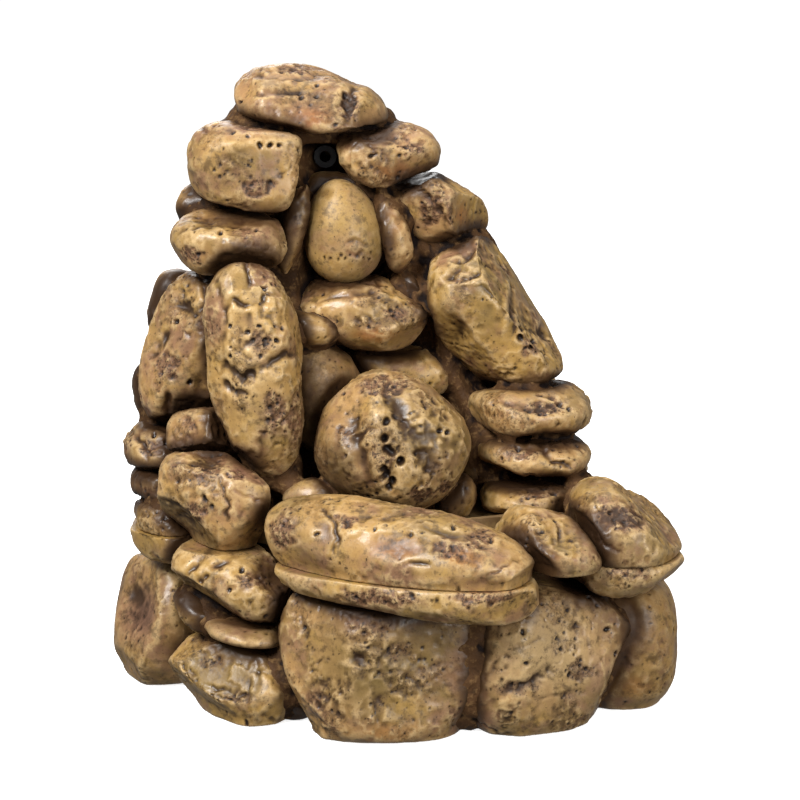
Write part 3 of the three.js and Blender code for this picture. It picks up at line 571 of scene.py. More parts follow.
def distances(mesh, low, counts):
    """How far each cell of a grid is from a closed mesh, in millimetres, negative inside."""
    shape = Shape(mesh)
    cells = ((shape.points - low) / MORTAR_CELL).astype(np.float32)
    level_set = openvdb.FloatGrid.createLevelSetFromPolygons(
        cells,
        triangles=shape.triangles.astype(np.uint32),
        transform=openvdb.createLinearTransform(1.0),
        halfWidth=MORTAR_BAND,
    )
    array = np.empty(counts, dtype=np.float32)
    level_set.copyToArray(array)
    return array * MORTAR_CELL


def run_together(first, second, blend):
    """The smaller of two distances, with a fillet where they are nearly equal."""
    overlap = np.maximum(blend - np.abs(first - second), 0) / blend
    return np.minimum(first, second) - overlap**2 * blend / 4


def without_crumbs(points, quads):
    """Leaves out the quads of every separate bit that has only a few points."""
    first, second = np.roll(quads, 1, axis=1).ravel(), quads.ravel()
    label = np.arange(len(points))
    while True:
        lowest = np.minimum(label[first], label[second])
        joined = label.copy()
        np.minimum.at(joined, label[first], lowest)
        np.minimum.at(joined, label[second], lowest)
        joined = joined[joined]
        if (joined == label).all():
            break
        label = joined
    size = np.bincount(label)[label]
    kept = quads[size[quads[:, 0]] >= CRUMB_POINTS]
    used, renumbered = np.unique(kept, return_inverse=True)
    return points[used], renumbered.reshape(-1, 4)


def mortar(body, stones, lowest, highest, seed):
    """The rough casting that shows between the stones: the shell's own wall, and every stone sunk under
    its face, run together with wide fillets."""
    shell = welded(NODES[body + "_shell"].data)
    corners = np.concatenate([Shape(mesh).points for mesh in (shell, *stones)])
    low = corners.min(0) - 3 * MORTAR_CELL
    counts = np.ceil((corners.max(0) - low) / MORTAR_CELL).astype(int) + 3
    heap = distances(stones[0], low, counts)
    for stone in stones[1:]:
        heap = run_together(heap, distances(stone, low, counts), MORTAR_BLEND)
    wall = distances(shell, low, counts) - MORTAR_SKIN
    grid = run_together(heap + MORTAR_SUNK, wall, WALL_BLEND)
    heights = low[2] + MORTAR_CELL * np.arange(counts[2])
    grid = np.maximum(grid, np.maximum(lowest - heights, heights - highest)[None, None, :])
    volume = openvdb.FloatGrid(MORTAR_BLEND)
    volume.copyFromArray(np.ascontiguousarray(grid, dtype=np.float32))
    points, quads = without_crumbs(*volume.convertToQuads(0.0))
    mesh = bpy.data.meshes.new(body + "_mortar")
    points = points.astype(float) * MORTAR_CELL + low
    mesh.from_pydata((points * MM).tolist(), [], quads.tolist())
    shape = Shape(mesh)
    before = shape.points.copy()
    shape.points = shape.smoothed(2)
    cells = np.rint((shape.points - low) / MORTAR_CELL).astype(int)
    clear_of_wall = smoothstep(0.8, 3.0, wall[tuple(cells.T)])  # the bowl and the hollow stay smooth
    share = WALL_LUMPS + (1 - WALL_LUMPS) * clear_of_wall
    push = MORTAR_LUMPS * share * fractal(shape.points / 5.0, seed, octaves=3)
    shape.points += push[:, None] * shape.normals()
    shape.points = held_at_seam(shape.points, before, lowest, highest)
    broad = shape.smoothed(8)
    hollow = ((broad - shape.points) * shape.normals()).sum(axis=1)
    shape.write({"hollow": np.clip(hollow / FULL_HOLLOW, -1, 1)})
    return placed(mesh.name, mesh, MORTAR_PAINT, body, body + "_shell")


# ---------------------------------------------------------------- materials


class Paint:
    """A material being built: small helpers round its node tree."""

    def __init__(self, name):
        self.material = bpy.data.materials.new(name)
        self.material.use_nodes = True
        self.tree = self.material.node_tree
        self.shader = self.tree.nodes["Principled BSDF"]

    def add(self, kind, **settings):
        node = self.tree.nodes.new(kind)
        for key, value in settings.items():
            setattr(node, key, value)
        return node

    def plug(self, value, socket):
        """Links an output, or sets a plain number or colour."""
        if isinstance(value, bpy.types.NodeSocket):
            self.tree.links.new(value, socket)
        else:
            socket.default_value = value

    def attribute(self, name, share=None):
        value = self.add("ShaderNodeAttribute", attribute_name=name).outputs["Fac"]
        return value if share is None else self.maths("MULTIPLY", value, share)

    def noise(self, size_mm, detail=3.0, roughness=0.55):
        node = self.add("ShaderNodeTexNoise")
        self.plug(self.add("ShaderNodeTexCoord").outputs["Object"], node.inputs["Vector"])
        for socket, number in (("Scale", 1 / (size_mm * MM)), ("Detail", detail), ("Roughness", roughness)):
            node.inputs[socket].default_value = number
        return node.outputs["Fac"]

    def maths(self, operation, first, second):
        node = self.add("ShaderNodeMath", operation=operation)
        self.plug(first, node.inputs[0])
        self.plug(second, node.inputs[1])
        return node.outputs[0]

    def between(self, value, low, high, to_low=0.0, to_high=1.0):
        node = self.add("ShaderNodeMapRange", interpolation_type="SMOOTHSTEP")
        self.plug(value, node.inputs["Value"])
        ends = {"From Min": low, "From Max": high, "To Min": to_low, "To Max": to_high}
        for socket, number in ends.items():
            node.inputs[socket].default_value = number
        return node.outputs["Result"]

    def mix(self, share, first, second):
        """One colour over another. The node's sockets 6 and 7 and its output 2 are the ones for colours."""
        node = self.add("ShaderNodeMix", data_type="RGBA")
        self.plug(share, node.inputs[0])
        for colour, socket in ((first, 6), (second, 7)):
            self.plug((*colour, 1) if isinstance(colour, tuple) else colour, node.inputs[socket])
        return node.outputs[2]

    def bump(self, height, strength, distance_mm, onto=None):
        node = self.add("ShaderNodeBump")
        node.inputs["Strength"].default_value = strength
        node.inputs["Distance"].default_value = distance_mm * MM
        self.plug(height, node.inputs["Height"])
        if onto is not None:
            self.plug(onto, node.inputs["Normal"])
        return node.outputs["Normal"]

    def finish(self, colour, roughness, normal=None, **settings):
        self.plug(colour, self.shader.inputs["Base Color"])
        self.plug(roughness, self.shader.inputs["Roughness"])
        if normal is not None:
            self.plug(normal, self.shader.inputs["Normal"])
        for key, value in settings.items():
            self.shader.inputs[key.replace("_", " ")].default_value = value
        return self.material


TAN = (0.35, 0.196, 0.082)
# PALE: the worn raised places, and painted light where the pale marks are
PALE = (0.54, 0.37, 0.175)
GOLD = (0.35, 0.21, 0.056)
OLIVE = (0.155, 0.100, 0.032)
PINK = (0.215, 0.108, 0.064)
BROWN = (0.082, 0.036, 0.014)
# ORANGE: painted warm bounce light on the lower faces
ORANGE = (0.28, 0.100, 0.024)
UMBER = (0.030, 0.014, 0.006)
# near-black: a dark wash and painted shade in the pits, painted shade in the mortar's hollows
WASH_AND_SHADE_BLACK = (0.008, 0.004, 0.003)


def stone_paint():
    """Ochre resin with a wash of pink, gold and olive; umber in every hollow and near every other stone,
    partly an umber wash rubbed in and partly painted shade; painted shade, painted warm bounce light and
    painted light from the dark, orange and pale marks.
    """
    paint = Paint("stone_paint")
    broad = paint.noise(34, 2.0)
    cloudy = paint.noise(11, 4.0, 0.6)
    fine = paint.noise(3.4, 5.0, 0.68)
    specks = paint.noise(1.1, 2.0, 0.6)
    hollow = paint.attribute("hollow")
    rough = paint.attribute("rough")
    washed = paint.between(paint.noise(17, 5.0, 0.62), 0.46, 0.66, 0, 0.75)
    raised = paint.maths("MULTIPLY", paint.between(hollow, 0.0, -0.45), paint.between(fine, 0.3, 0.6))
    smears = paint.between(paint.maths("ADD", fine, paint.maths("MULTIPLY", cloudy, 0.6)), 0.78, 1.0)
    low_places = paint.maths("ADD", hollow, paint.attribute("sunk", 0.6))
    low_places = paint.maths("ADD", low_places, paint.maths("MULTIPLY", fine, 0.6))
    speckled = paint.between(rough, 0, 1, 0.1, 0.8)
    edged = paint.maths("ADD", paint.attribute("crevice"), paint.maths("MULTIPLY", cloudy, 0.5))
    washes_and_painted_light = (
        (paint.attribute("tone"), GOLD),
        (paint.between(broad, 0.4, 0.64, 0, 0.85), OLIVE),
        (paint.between(cloudy, 0.48, 0.62, 0, 0.6), GOLD),
        (paint.maths("MAXIMUM", washed, paint.attribute("pink")), PINK),
        (paint.attribute("olive"), OLIVE),
        (paint.attribute("gold"), GOLD),
        # orange marks, mostly on the lower faces: painted warm bounce light
        (paint.attribute("orange", 0.8), ORANGE),
        (paint.maths("MULTIPLY", raised, 0.8), PALE),
        # pale marks: painted light
        (paint.attribute("pale", 0.8), PALE),
        (paint.maths("MULTIPLY", smears, 0.6), UMBER),
        (paint.maths("MULTIPLY", rough, paint.between(fine, 0.35, 0.6, 0.85, 0.2)), BROWN),
        # umber in the hollows and sunk places: an umber wash, and painted shade in the recesses
        (paint.between(low_places, 0.3, 1.2, 0, 0.92), UMBER),
        (paint.maths("MULTIPLY", speckled, paint.between(specks, 0.5, 0.62)), UMBER),
        (paint.between(paint.noise(1.6, 1.0), 0.7, 0.78, 0, 0.8), UMBER),
        # brown, then umber, near other stones: painted shade between the stones, partly an umber wash
        (paint.between(edged, 0.3, 0.95, 0, 0.75), BROWN),
        (paint.between(edged, 0.6, 1.2, 0, 0.97), UMBER),
        # dark: painted shade on the shaded sides and in the dents, and in the creases and cracks partly an
        # umber wash
        (paint.attribute("dark", 0.85), UMBER),
        # pits near-black: a dark wash in the pits and painted shade
        (paint.attribute("pits", 0.9), WASH_AND_SHADE_BLACK),
    )
    colour = TAN
    for share, wash in washes_and_painted_light:
        colour = paint.mix(share, colour, wash)
    dull = paint.maths("ADD", cloudy, paint.maths("MULTIPLY", rough, 0.3))
    roughness = paint.between(dull, 0.3, 0.9, 0.3, 0.6)
    grain = paint.bump(specks, 0.3, 0.25)
    skin = paint.bump(fine, 0.15, 0.5, grain)
    return paint.finish(colour, roughness, skin, Specular_IOR_Level=0.32)


def mortar_paint():
    """Dark brown matt resin with paler lumps, between the stones, with painted shade in its hollows."""
    paint = Paint("mortar_paint")
    lumps = paint.noise(3.2, 4.0, 0.6)
    broad = paint.noise(16, 2.0)
    hollow = paint.attribute("hollow")
    colour = paint.mix(paint.between(broad, 0.35, 0.65), (0.035, 0.016, 0.006), (0.075, 0.036, 0.014))
    colour = paint.mix(paint.between(lumps, 0.5, 0.68, 0, 0.7), colour, (0.17, 0.095, 0.038))
    # the mortar's hollows near-black: painted shade
    colour = paint.mix(paint.between(hollow, 0.1, 0.7), colour, WASH_AND_SHADE_BLACK)
    roughness = paint.between(lumps, 0.3, 0.7, 0.6, 0.85)
    return paint.finish(colour, roughness, paint.bump(lumps, 0.8, 1.2), Specular_IOR_Level=0.12)


def tray_paint():
    """The splash tray: the same resin, brushed with a thin wash."""
    paint = Paint("tray_paint")
    wash = paint.noise(9, 4.0, 0.6)
    grain = paint.noise(1.4, 3.0)
    colour = paint.mix(paint.between(wash, 0.35, 0.65), (0.13, 0.075, 0.03), (0.24, 0.15, 0.06))
    return paint.finish(colour, paint.between(grain, 0.3, 0.7, 0.4, 0.6), paint.bump(grain, 0.5, 0.4))


def plain_paint(name, pattern, span, colours, roughness, grain=None, bump=None, **settings):
    """A material whose colour follows one noise, and its gloss too where two numbers are given for that."""
    paint = Paint(name)
    marks = paint.noise(*pattern)
    colour = paint.mix(paint.between(marks, *span), *colours)
    if isinstance(roughness, tuple):
        roughness = paint.between(marks, 0.3, 0.7, *roughness)
    normal = paint.bump(paint.noise(*grain) if grain else marks, *bump) if bump else None
    return paint.finish(colour, roughness, normal, **settings)


def moulded_plastic(name, *colours):
    smudges, span = (14, 4.0, 0.7), (0.4, 0.7, 0, 0.5)
    return plain_paint(name, smudges, span, colours, (0.36, 0.52), (0.35, 2.0), (0.25, 0.08))


def floor_paint():
    paint = Paint("studio_floor")
    return paint.finish(
        (0.9, 0.9, 0.9, 1.0), 0.7, Emission_Color=(1.0, 1.0, 1.0, 1.0), Emission_Strength=0.83
    )


def backdrop_paint():
    paint = Paint("studio_backdrop")
    return paint.finish((0.0, 0.0, 0.0, 1.0), 1.0, Emission_Color=(1.0, 1.0, 1.0, 1.0), Emission_Strength=1.0)


STONE_PAINT = stone_paint()
MORTAR_PAINT = mortar_paint()


# ---------------------------------------------------------------- what is carved on each stone

# The names are those of Carver's own marks and of the tints, and the numbers are what those take.
# dark marks, and the dark in dents, grooves and cracks: painted shade on the shaded side of a stone and in
# its creases, in the creases partly an umber wash; orange marks, mostly on the lower faces: painted warm
# bounce light; pale marks: painted light
MARKS = {}
MARKS["cap_stone"] = dict(
    dent=[(0.62, 0.75, 14, 8, 3.2)],
    groove=[
        ([(-0.78, 0.57), (-0.14, 0.46), (0.13, 0.6)], 2.2), ([(-0.72, 0.02), (-0.1, 0.08)], 1.2, 1.5),
        ([(0.56, 0.25), (0.5, -0.25), (0.49, -0.8)], 3.0, 3.4, 1.4, 0.3, 0.9),
    ],
    worn=[(0.53, -0.3, 7, 11), (-0.2, 0.75, 12, 5, 0.7)],
    hole=[
        (0.45, 0.05, 1.5, 2.2), (0.6, -0.15, 1.2, 2.0), (-0.9, -0.1, 1.0, 1.4), (-0.1, -0.03, 1.0, 1.4),
        (0.1, 0.3, 0.9, 1.2),
    ],
    orange=[(0.05, -0.6, 14, 8, 0.9)],
    pink=[(0.0, -0.4, 20, 10, 0.7)],
    olive=[(-0.5, 0.3, 14, 8, 0.5)],
)
MARKS["left_shoulder_stone"] = dict(
    facet=[(0.0, 0.8)],
    groove=[
        ([(-0.95, 0.42), (-0.3, 0.33), (0.45, 0.36), (0.95, 0.45)], -0.7),
        ([(-0.9, 0.85), (-0.6, 0.6), (-0.2, 0.62)], 1.0, 1.5),
    ],
    hole=[
        (0.29, 0.32, 1.3, 2.0), (0.46, 0.32, 1.5, 2.2), (0.62, 0.32, 1.1), (-0.17, 0.59, 0.9, 1.2),
        (0.07, 0.5, 0.9, 1.2),
    ],
    worn=[(0.25, -0.5, 12, 6), (0.1, 0.85, 14, 5, 0.6)],
    dark=[(-0.45, 0.0, 6, 5, 0.45)],
    pink=[(0.0, 0.7, 24, 8, 0.9)],
    olive=[(-0.05, 0.1, 12, 8, 0.7)],
    gold=[(0.73, -0.1, 4, 12, 0.8)],
)
MARKS["left_flat_stone"] = dict(
    groove=[([(-0.9, 0.1), (-0.3, 0.35), (0.3, 0.3)], 0.9, 1.6)],
    worn=[(-0.6, -0.45, 9, 6, 0.9)],
    dent=[(-0.35, 0.55, 8, 4, 1.2), (0.2, 0.5, 7, 4, 1.0)],
    hole=[(-0.1, 0.1, 1.2, 1.6), (0.5, 0.2, 1.0, 1.4)],
    pink=[(0.65, 0.1, 14, 9, 0.9)],
)
MARKS["upper_right_stone"] = dict(
    groove=[([(-0.6, 0.5), (0.0, 0.4), (0.7, 0.1)], 0.8, 2.0)],
    hole=[(-0.35, -0.17, 1.4, 2.0)],
    worn=[(0.43, 0.1, 8, 5)],
    orange=[(0.2, -0.6, 20, 6, 0.8)],
    pink=[(0.2, 0.5, 16, 6, 0.6)],
)
MARKS["right_faceted_stone"] = dict(
    facet=[(0.5, -0.2, 3.0, 10, 0, "gold"), (0.33, 0.5, 2.0, 0, 0, "gold")],
    groove=[([(0.76, 0.3), (0.74, -0.5)], -0.9, 1.4), ([(-0.5, 0.3), (-0.1, 0.05), (0.1, -0.5)], 2.0, 2.2)],
    worn=[(-0.15, -0.1, 8, 12)],
    orange=[(0.5, -0.25, 6, 9, 0.9)],
    dark=[(-0.7, -0.2, 7, 12, 0.6)],
)
MARKS["egg_stone"] = dict(
    hole=[(-0.45 + 0.16 * k, -0.53 - 0.03 * math.sin(k), 0.6, 0.8) for k in range(8)],
    groove=[
        ([(0.05, -0.28), (0.3, -0.2), (0.58, -0.3)], 0.8, 0.9, 0.3),
        ([(0.1, -0.42), (0.32, -0.5), (0.52, -0.4)], 0.7, 0.8, 0.3),
    ],
    dent=[(-0.45, 0.72, 5, 4, 0.8)],
    gold=[(0.0, 0.2, 16, 22, 0.6)],
    dark=[(-0.95, 0.0, 4, 20, 0.8)],
)
MARKS["ledge_stone"] = dict(
    facet=[(0.75, 0.65, 4.0), (0.75, -0.65, 4.0)],
    groove=[([(-0.6, 0.3), (0.0, 0.5), (0.7, 0.2)], 0.8, 1.6)],
    crack=[([(0.3, 0.1), (0.5, -0.2), (0.6, -0.5)],), ([(0.0, -0.1), (0.25, -0.3)], 0.9, 0.6)],
    worn=[(0.5, -0.1, 9, 6, 0.8)],
    orange=[(0.2, -0.6, 20, 5, 0.9)],
    pink=[(-0.2, 0.4, 16, 6, 0.5)],
)
MARKS["left_pillar_stone"] = dict(
    groove=[
        ([(-0.09, 0.98), (0.0, 0.78)], 1.6, 1.6),
        ([(-0.6, 0.48), (-0.35, 0.6), (-0.12, 0.54)], 2.6, 2.0, 0.8, 0.3, 0.9),
        ([(0.22, 0.58), (0.35, 0.7), (0.5, 0.65)], 1.8, 1.2, 0.5, 0.4, 0.9),
        ([(-0.57, 0.0), (-0.23, -0.11), (0.2, -0.02), (0.74, 0.13)], 3.2, 2.4, 0.9, 0.3, 0.9),
        ([(-0.6, -0.17), (-0.35, -0.26), (-0.12, -0.24)], 2.0, 1.7, 0.8, 0.4, 0.8),
        ([(-0.7, 0.75), (-0.55, 0.4), (-0.62, 0.1)], 1.2, 2.0), ([(0.25, -0.5), (0.15, -0.8)], 1.2),
    ],
    hole=[(0.32, 0.74, 1.2, 2.2)],
    gold=[(-0.26, 0.06, 8, 7, 0.9), (-0.1, -0.64, 6, 7, 0.8)],
    facet=[(-0.7, 0.42, 1.8, -8, 0, "pink")],
    worn=[(0.45, -0.4, 9, 13), (0.15, 0.2, 11, 10, 0.55)],
    dent=[(-0.85, -0.75, 9, 16, 3.4, 0.3), (0.55, 0.45, 7, 9, 1.2)],
    # pale over the stone: painted light
    pale=[(0.0, 0.0, 20, 44, 0.4)],
    holes=[(1.1, 1.8,
        (-0.44, 0.36), (0.17, 0.36), (-0.09, 0.31), (0.27, 0.24), (0.5, 0.23), (-0.46, 0.1), (0.17, 0.09))],
)
MARKS["left_rear_pillar_stone"] = dict(
    groove=[
        ([(-0.15, 0.52), (0.1, 0.42), (0.36, 0.51)], 3.0, 2.2, 0.8, 0.3, 0.9),
        ([(-0.41, 0.17), (-0.55, 0.0), (-0.65, -0.09)], 2.4, 2.2, 0.8, 0.3, 1.0),
        ([(0.7, 0.18), (0.35, 0.05), (0.0, -0.22)], -0.9), ([(-0.41, -0.6), (-0.41, -0.95)], 2.8),
        ([(0.3, 0.95), (0.35, 0.5)],),
    ],
    gold=[(-0.07, 0.72, 4, 10, 0.9)],
    worn=[(-0.35, -0.25, 8, 9), (0.35, 0.25, 8, 8, 0.7)],
    hole=[(0.07, -0.47, 1.4, 2.2), (-0.2, 0.3, 1.3)],
    dent=[(0.25, -0.5, 8, 8, 1.5)],
)
MARKS["left_chock_stone"] = dict(
    facet=[(-0.3, 0.0, 1.6, -8), (0.6, 0.0, 1.6, 8)],
    groove=[([(0.2, 0.7), (0.15, -0.6)], -0.8, 1.2)],
)
MARKS["left_stack_stone_upper"] = dict(
    groove=[([(-0.9, 0.4), (-0.5, 0.0), (-0.3, -0.6)], 1.8, 1.6)],
    hole=[(-0.2, 0.3), (0.1, 0.1, 1.4, 2.0)],
    worn=[(-0.2, -0.2, 12, 7, 0.8)],
)
MARKS["left_stack_stone_lower"] = dict(
    groove=[([(-0.8, 0.2), (-0.2, 0.4), (0.5, 0.1)], 1.2, 1.6)],
    worn=[(-0.4, -0.3, 10, 5, 0.6)],
)
MARKS["left_wedge_stone"] = dict(
    groove=[([(-0.8, -0.1), (0.2, 0.1)], 0.9, 1.4)],
    gold=[(-0.5, 0.3, 12, 5, 0.6)],
)
MARKS["left_slab_stone"] = dict(
    facet=[(-0.72, -0.72, 7.0, 0, 0, "olive"), (0.7, 0.8, 3.5, 0, 0, "pink")],
    dent=[(-0.1, 0.85, 13, 9, 4.2), (-0.85, -0.8, 12, 9, 3.0)],
    groove=[
        ([(-0.75, 0.35), (-0.3, 0.45), (0.1, 0.3)], 1.8, 2.0),
        ([(-0.9, -0.1), (-0.55, -0.35), (-0.2, -0.75)], 1.4),
    ],
    crack=[
        ([(0.15, 0.45), (0.22, 0.24), (0.3, -0.1), (0.24, -0.4)], 1.8, 1.0),
        ([(0.42, 0.22), (0.6, 0.05), (0.87, 0.0)],),
    ],
    worn=[(-0.05, 0.55, 10, 6), (-0.25, -0.25, 9, 8, 0.9), (0.45, 0.5, 8, 5, 0.6)],
    dark=[(0.45, -0.6, 6, 4, 0.5)],
    hole=[(-0.1, 0.05, 1.6, 2.2), (0.02, -0.12, 1.1, 1.6)],
    gold=[(-0.7, 0.15, 8, 8, 0.7)],
)
MARKS["right_pillar_stone"] = dict(
    facet=[(0.6, 0.75, 6.0), (-0.45, 0.72, 2.0, 0, 0, "pink"), (-0.1, 0.0, 1.8), (0.6, 0.1, 2.2)],
    groove=[
        ([(-0.32, 0.83), (-0.5, 0.6), (-0.66, 0.36)], 1.8, 1.6),
        ([(-0.64, 0.38), (-0.4, 0.4), (-0.19, 0.52)], 2.4, 1.7, 0.7, 0.3, 0.9),
        ([(0.26, 0.45), (0.22, 0.05), (0.1, -0.34)], -1.1, 1.5),
        ([(0.36, 0.4), (0.34, 0.0), (0.24, -0.4)], 1.6, 1.4),
        ([(-0.2, 0.3), (0.0, 0.15), (0.15, -0.05)], 0.9, 1.2),
    ],
    dent=[(-0.55, -0.35, 9, 13, 2.6, 0.35), (0.85, -0.2, 5, 6, 2.6)],
    olive=[(-0.15, -0.05, 9, 14, 0.6)],
    worn=[(0.55, -0.45, 8, 8), (0.35, 0.62, 8, 6, 0.6)],
    pink=[(0.5, 0.2, 9, 12, 0.5)],
    holes=[(1.6, 2.4, (0.36, -0.38), (0.5, -0.5), (0.62, -0.36), (0.75, -0.52), (0.45, -0.2))],
)
MARKS["right_stack_stone_upper"] = dict(
    worn=[(0.2, 0.1, 16, 6, 0.9)],
    groove=[([(-0.6, 0.2), (0.0, 0.0), (0.5, 0.2)], 0.9, 1.4)],
    hole=[(0.45, 0.2, 1.4, 2.0), (0.6, 0.0, 1.1, 1.6)],
)
MARKS["right_stack_stone_middle"] = dict(
    worn=[(-0.2, 0.0, 14, 5, 0.8)],
    groove=[([(0.1, 0.2), (0.3, -0.33), (0.6, -0.5)], 2.0, 1.5, 0.8, 0.3, 1.0)],
    hole=[(-0.3, 0.1, 1.2, 1.6)],
)
MARKS["right_stack_stone_lower"] = dict(
    worn=[(0.1, 0.0, 14, 5, 0.8)],
    hole=[(0.2, 0.2, 1.4, 2.0), (0.4, 0.0, 1.2, 1.6)],
)
MARKS["lip_long_stone"] = dict(
    worn=[(-0.86, 0.15, 8, 12), (0.33, -0.1, 12, 5), (-0.4, 0.5, 8, 5, 0.8), (0.55, 0.1, 14, 6, 0.5)],
    crack=[
        ([(-0.6, 0.9), (-0.5, 0.48), (-0.46, 0.1), (-0.5, -0.27)], 1.4, 1.0),
        ([(0.58, -0.66), (0.7, -0.5), (0.81, -0.31)], 1.0, 0.6),
    ],
    groove=[
        ([(-0.66, 0.8), (-0.55, 0.4), (-0.5, 0.0)], 1.0, 4.5),
        ([(0.05, -0.38), (0.18, -0.42)], 1.2, 0.8, 0.3),
        ([(0.2, 0.02), (0.34, -0.12), (0.5, -0.36)], 1.8, 3.2, 1.8, 0.4),
        ([(0.14, 0.35), (0.32, 0.2), (0.55, 0.12)], 1.2, 1.5),
        ([(-0.35, 0.62), (-0.1, 0.55), (0.2, 0.7)], 0.9, 2.0),
        ([(-0.44, 0.1), (-0.3, 0.3), (-0.1, 0.35)], -0.8, 2.0),
    ],
    dent=[(-0.06, -0.02, 15, 8)],
    orange=[(-0.06, -0.1, 16, 8, 0.8), (0.42, -0.3, 12, 6, 0.8)],
    holes=[(1.0, 1.4, (-0.2, 0.3), (0.05, 0.2), (0.35, 0.35), (0.62, 0.05), (-0.62, 0.2))],
)
MARKS["lip_long_underside"] = dict(
    worn=[(-0.2, -0.2, 30, 6, 0.8), (0.55, -0.1, 22, 6, 0.8)],
    orange=[(0.6, 0.1, 24, 6, 0.7)],
)
MARKS["lip_middle_stone"] = dict(
    facet=[(-0.45, 0.1, 1.6)],
    groove=[([(-0.3, 0.66), (-0.1, 0.35), (0.05, 0.0)], -1.0, 1.6)],
    crack=[([(0.1, 0.6), (0.2, 0.45), (0.25, 0.1)], 1.2, 0.8)],
    dark=[(-0.6, 0.0, 6, 8, 0.4)],
    orange=[(0.1, -0.5, 12, 5, 0.6)],
)
MARKS["lip_right_stone"] = dict(
    facet=[(0.6, 0.7, 3.0)],
    dent=[(-0.1, 0.12, 17, 10, 3.0)],
    worn=[(-0.1, 0.12, 17, 10, 1.2)],
    crack=[([(-0.5, -0.3), (-0.36, -0.5), (-0.1, -0.62)], 1.4, 0.8)],
    gold=[(-0.75, 0.2, 4, 10, 0.7)],
    dark=[(0.1, 0.1, 10, 5, 0.4)],
)
MARKS["lip_right_underside"] = dict(
    worn=[(0.0, 0.0, 18, 5, 0.7)],
    orange=[(0.1, 0.2, 16, 5, 0.6)],
)
MARKS["ball_stone"] = dict(
    # dark on the left flank and along the bottom, and olive on the left flank: painted shade
    dark=[(-0.75, -0.4, 22, 32, 0.9), (0.1, -0.95, 34, 12, 0.8)],
    olive=[(0.3, 0.1, 34, 34, 0.8), (-0.6, -0.3, 9, 12, 0.5)],
    groove=[
        ([(0.0, 0.8), (0.12, 0.45), (0.38, 0.1), (0.5, -0.4)], 3.4, 5.0, 0.5, 0.4, 0.35),
        ([(-0.5, 0.35), (-0.42, -0.05), (-0.25, -0.5)], 2.6, 4.2, 0.5, 0.4, 0.4),
        ([(-0.3, 0.5), (-0.22, 0.0), (-0.1, -0.6)], -1.2, 4.0),
        ([(-0.45, 0.05), (-0.3, 0.22), (-0.1, 0.2)], 1.6, 1.6),
        ([(-0.3, 0.5), (-0.11, 0.43), (0.05, 0.5)], -1.0, 2.2),
        ([(-0.08, 0.1), (0.05, -0.2), (0.0, -0.6)], 2.2, 3.0, 1.6, 0.3),
    ],
    hole=[(-0.05, 0.32, 1.8, 2.6), (0.65, 0.19, 1.3, 2.0), (0.75, 0.16, 1.1)],
    worn=[
        (0.42, -0.7, 9, 6, 0.9), (0.72, -0.6, 6, 6, 0.8), (-0.1, 0.8, 18, 6, 0.9), (-0.1, -0.2, 9, 16, 0.8),
        (-0.6, 0.1, 7, 14, 0.45),
    ],
    gold=[(0.4, -0.2, 7, 10, 0.6)],
    holes=[(2.0, 3.6,
        (-0.07, 0.1), (-0.04, -0.06), (0.02, -0.12), (0.14, -0.24), (-0.1, -0.34), (-0.05, -0.42),
        (0.03, -0.52), (-0.03, -0.6))],
)
MARKS["basin_left_slab_stone"] = dict(
    facet=[(-0.72, -0.72, 7.0), (0.75, 0.1, 3.0)],
    groove=[
        ([(-0.74, 0.13), (-0.5, 0.5), (-0.25, 0.77)], 2.2, 1.6, 0.6, 0.3, 0.9),
        ([(-0.5, 0.0), (-0.25, 0.35), (0.05, 0.6)], 1.8, 1.5, 0.6, 0.3, 0.8),
    ],
    gold=[(-0.1, 0.2, 20, 7, 0.6)],
    worn=[(0.4, 0.1, 12, 6, 0.8)],
    hole=[(0.2, 0.3), (0.0, -0.2, 1.0, 1.4)],
)
MARKS["base_left_stone"] = dict(
    facet=[(-0.7, -0.85, 3.5), (0.6, 0.0, 2.4, 12)],
    dent=[(-0.45, 0.15, 14, 20, 3.2), (-0.56, 0.25, 6, 7, 1.6, 0.3)],
    groove=[([(0.0, 0.6), (0.02, 0.1), (-0.02, -0.35)], -1.4, 2.0)],
    pink=[(-0.4, 0.0, 22, 24)],
    # dark on the right face: painted shade
    dark=[(0.6, 0.0, 10, 26, 0.5)],
)
MARKS["base_left_front_stone"] = dict(
    facet=[(-0.75, -0.75, 9.0), (-0.7, 0.75, 4.0), (0.1, 0.0, 2.5, 0, 0, "olive")],
    crack=[
        ([(-0.44, -0.13), (-0.1, -0.2), (0.23, -0.31), (0.26, 0.02)], 1.1, 0.8),
        ([(-0.76, 0.3), (-0.74, -0.3)], 1.0),
    ],
    worn=[(0.1, -0.4, 14, 6, 0.8), (-0.3, 0.3, 12, 5, 0.7)],
    groove=[([(0.3, 0.3), (0.6, 0.1), (0.8, -0.3)],)],
)
MARKS["base_front_stone"] = dict(
    facet=[(-0.85, -0.8, 5.0), (0.85, -0.85, 3.0)],
    worn=[(-0.08, 0.48, 17, 10), (0.2, 0.1, 14, 8, 0.5), (-0.6, -0.5, 9, 8, 0.5)],
    dent=[(-0.2, 0.04, 5.5, 5.5, 2.6, 0.8), (0.35, -0.05, 9, 8, 1.0)],
    groove=[
        ([(0.22, -0.18), (0.35, -0.24), (0.42, -0.36)], 1.0, 0.9, 0.3),
        ([(-0.85, 0.6), (-0.7, 0.3), (-0.75, -0.1)], 1.4, 2.0),
    ],
    olive=[(0.0, -0.1, 44, 40)],
    pink=[(-0.1, 0.45, 26, 14, 0.7)],
    gold=[(0.3, -0.55, 18, 10, 0.6)],
    orange=[(0.1, -0.85, 24, 5, 0.5)],
)
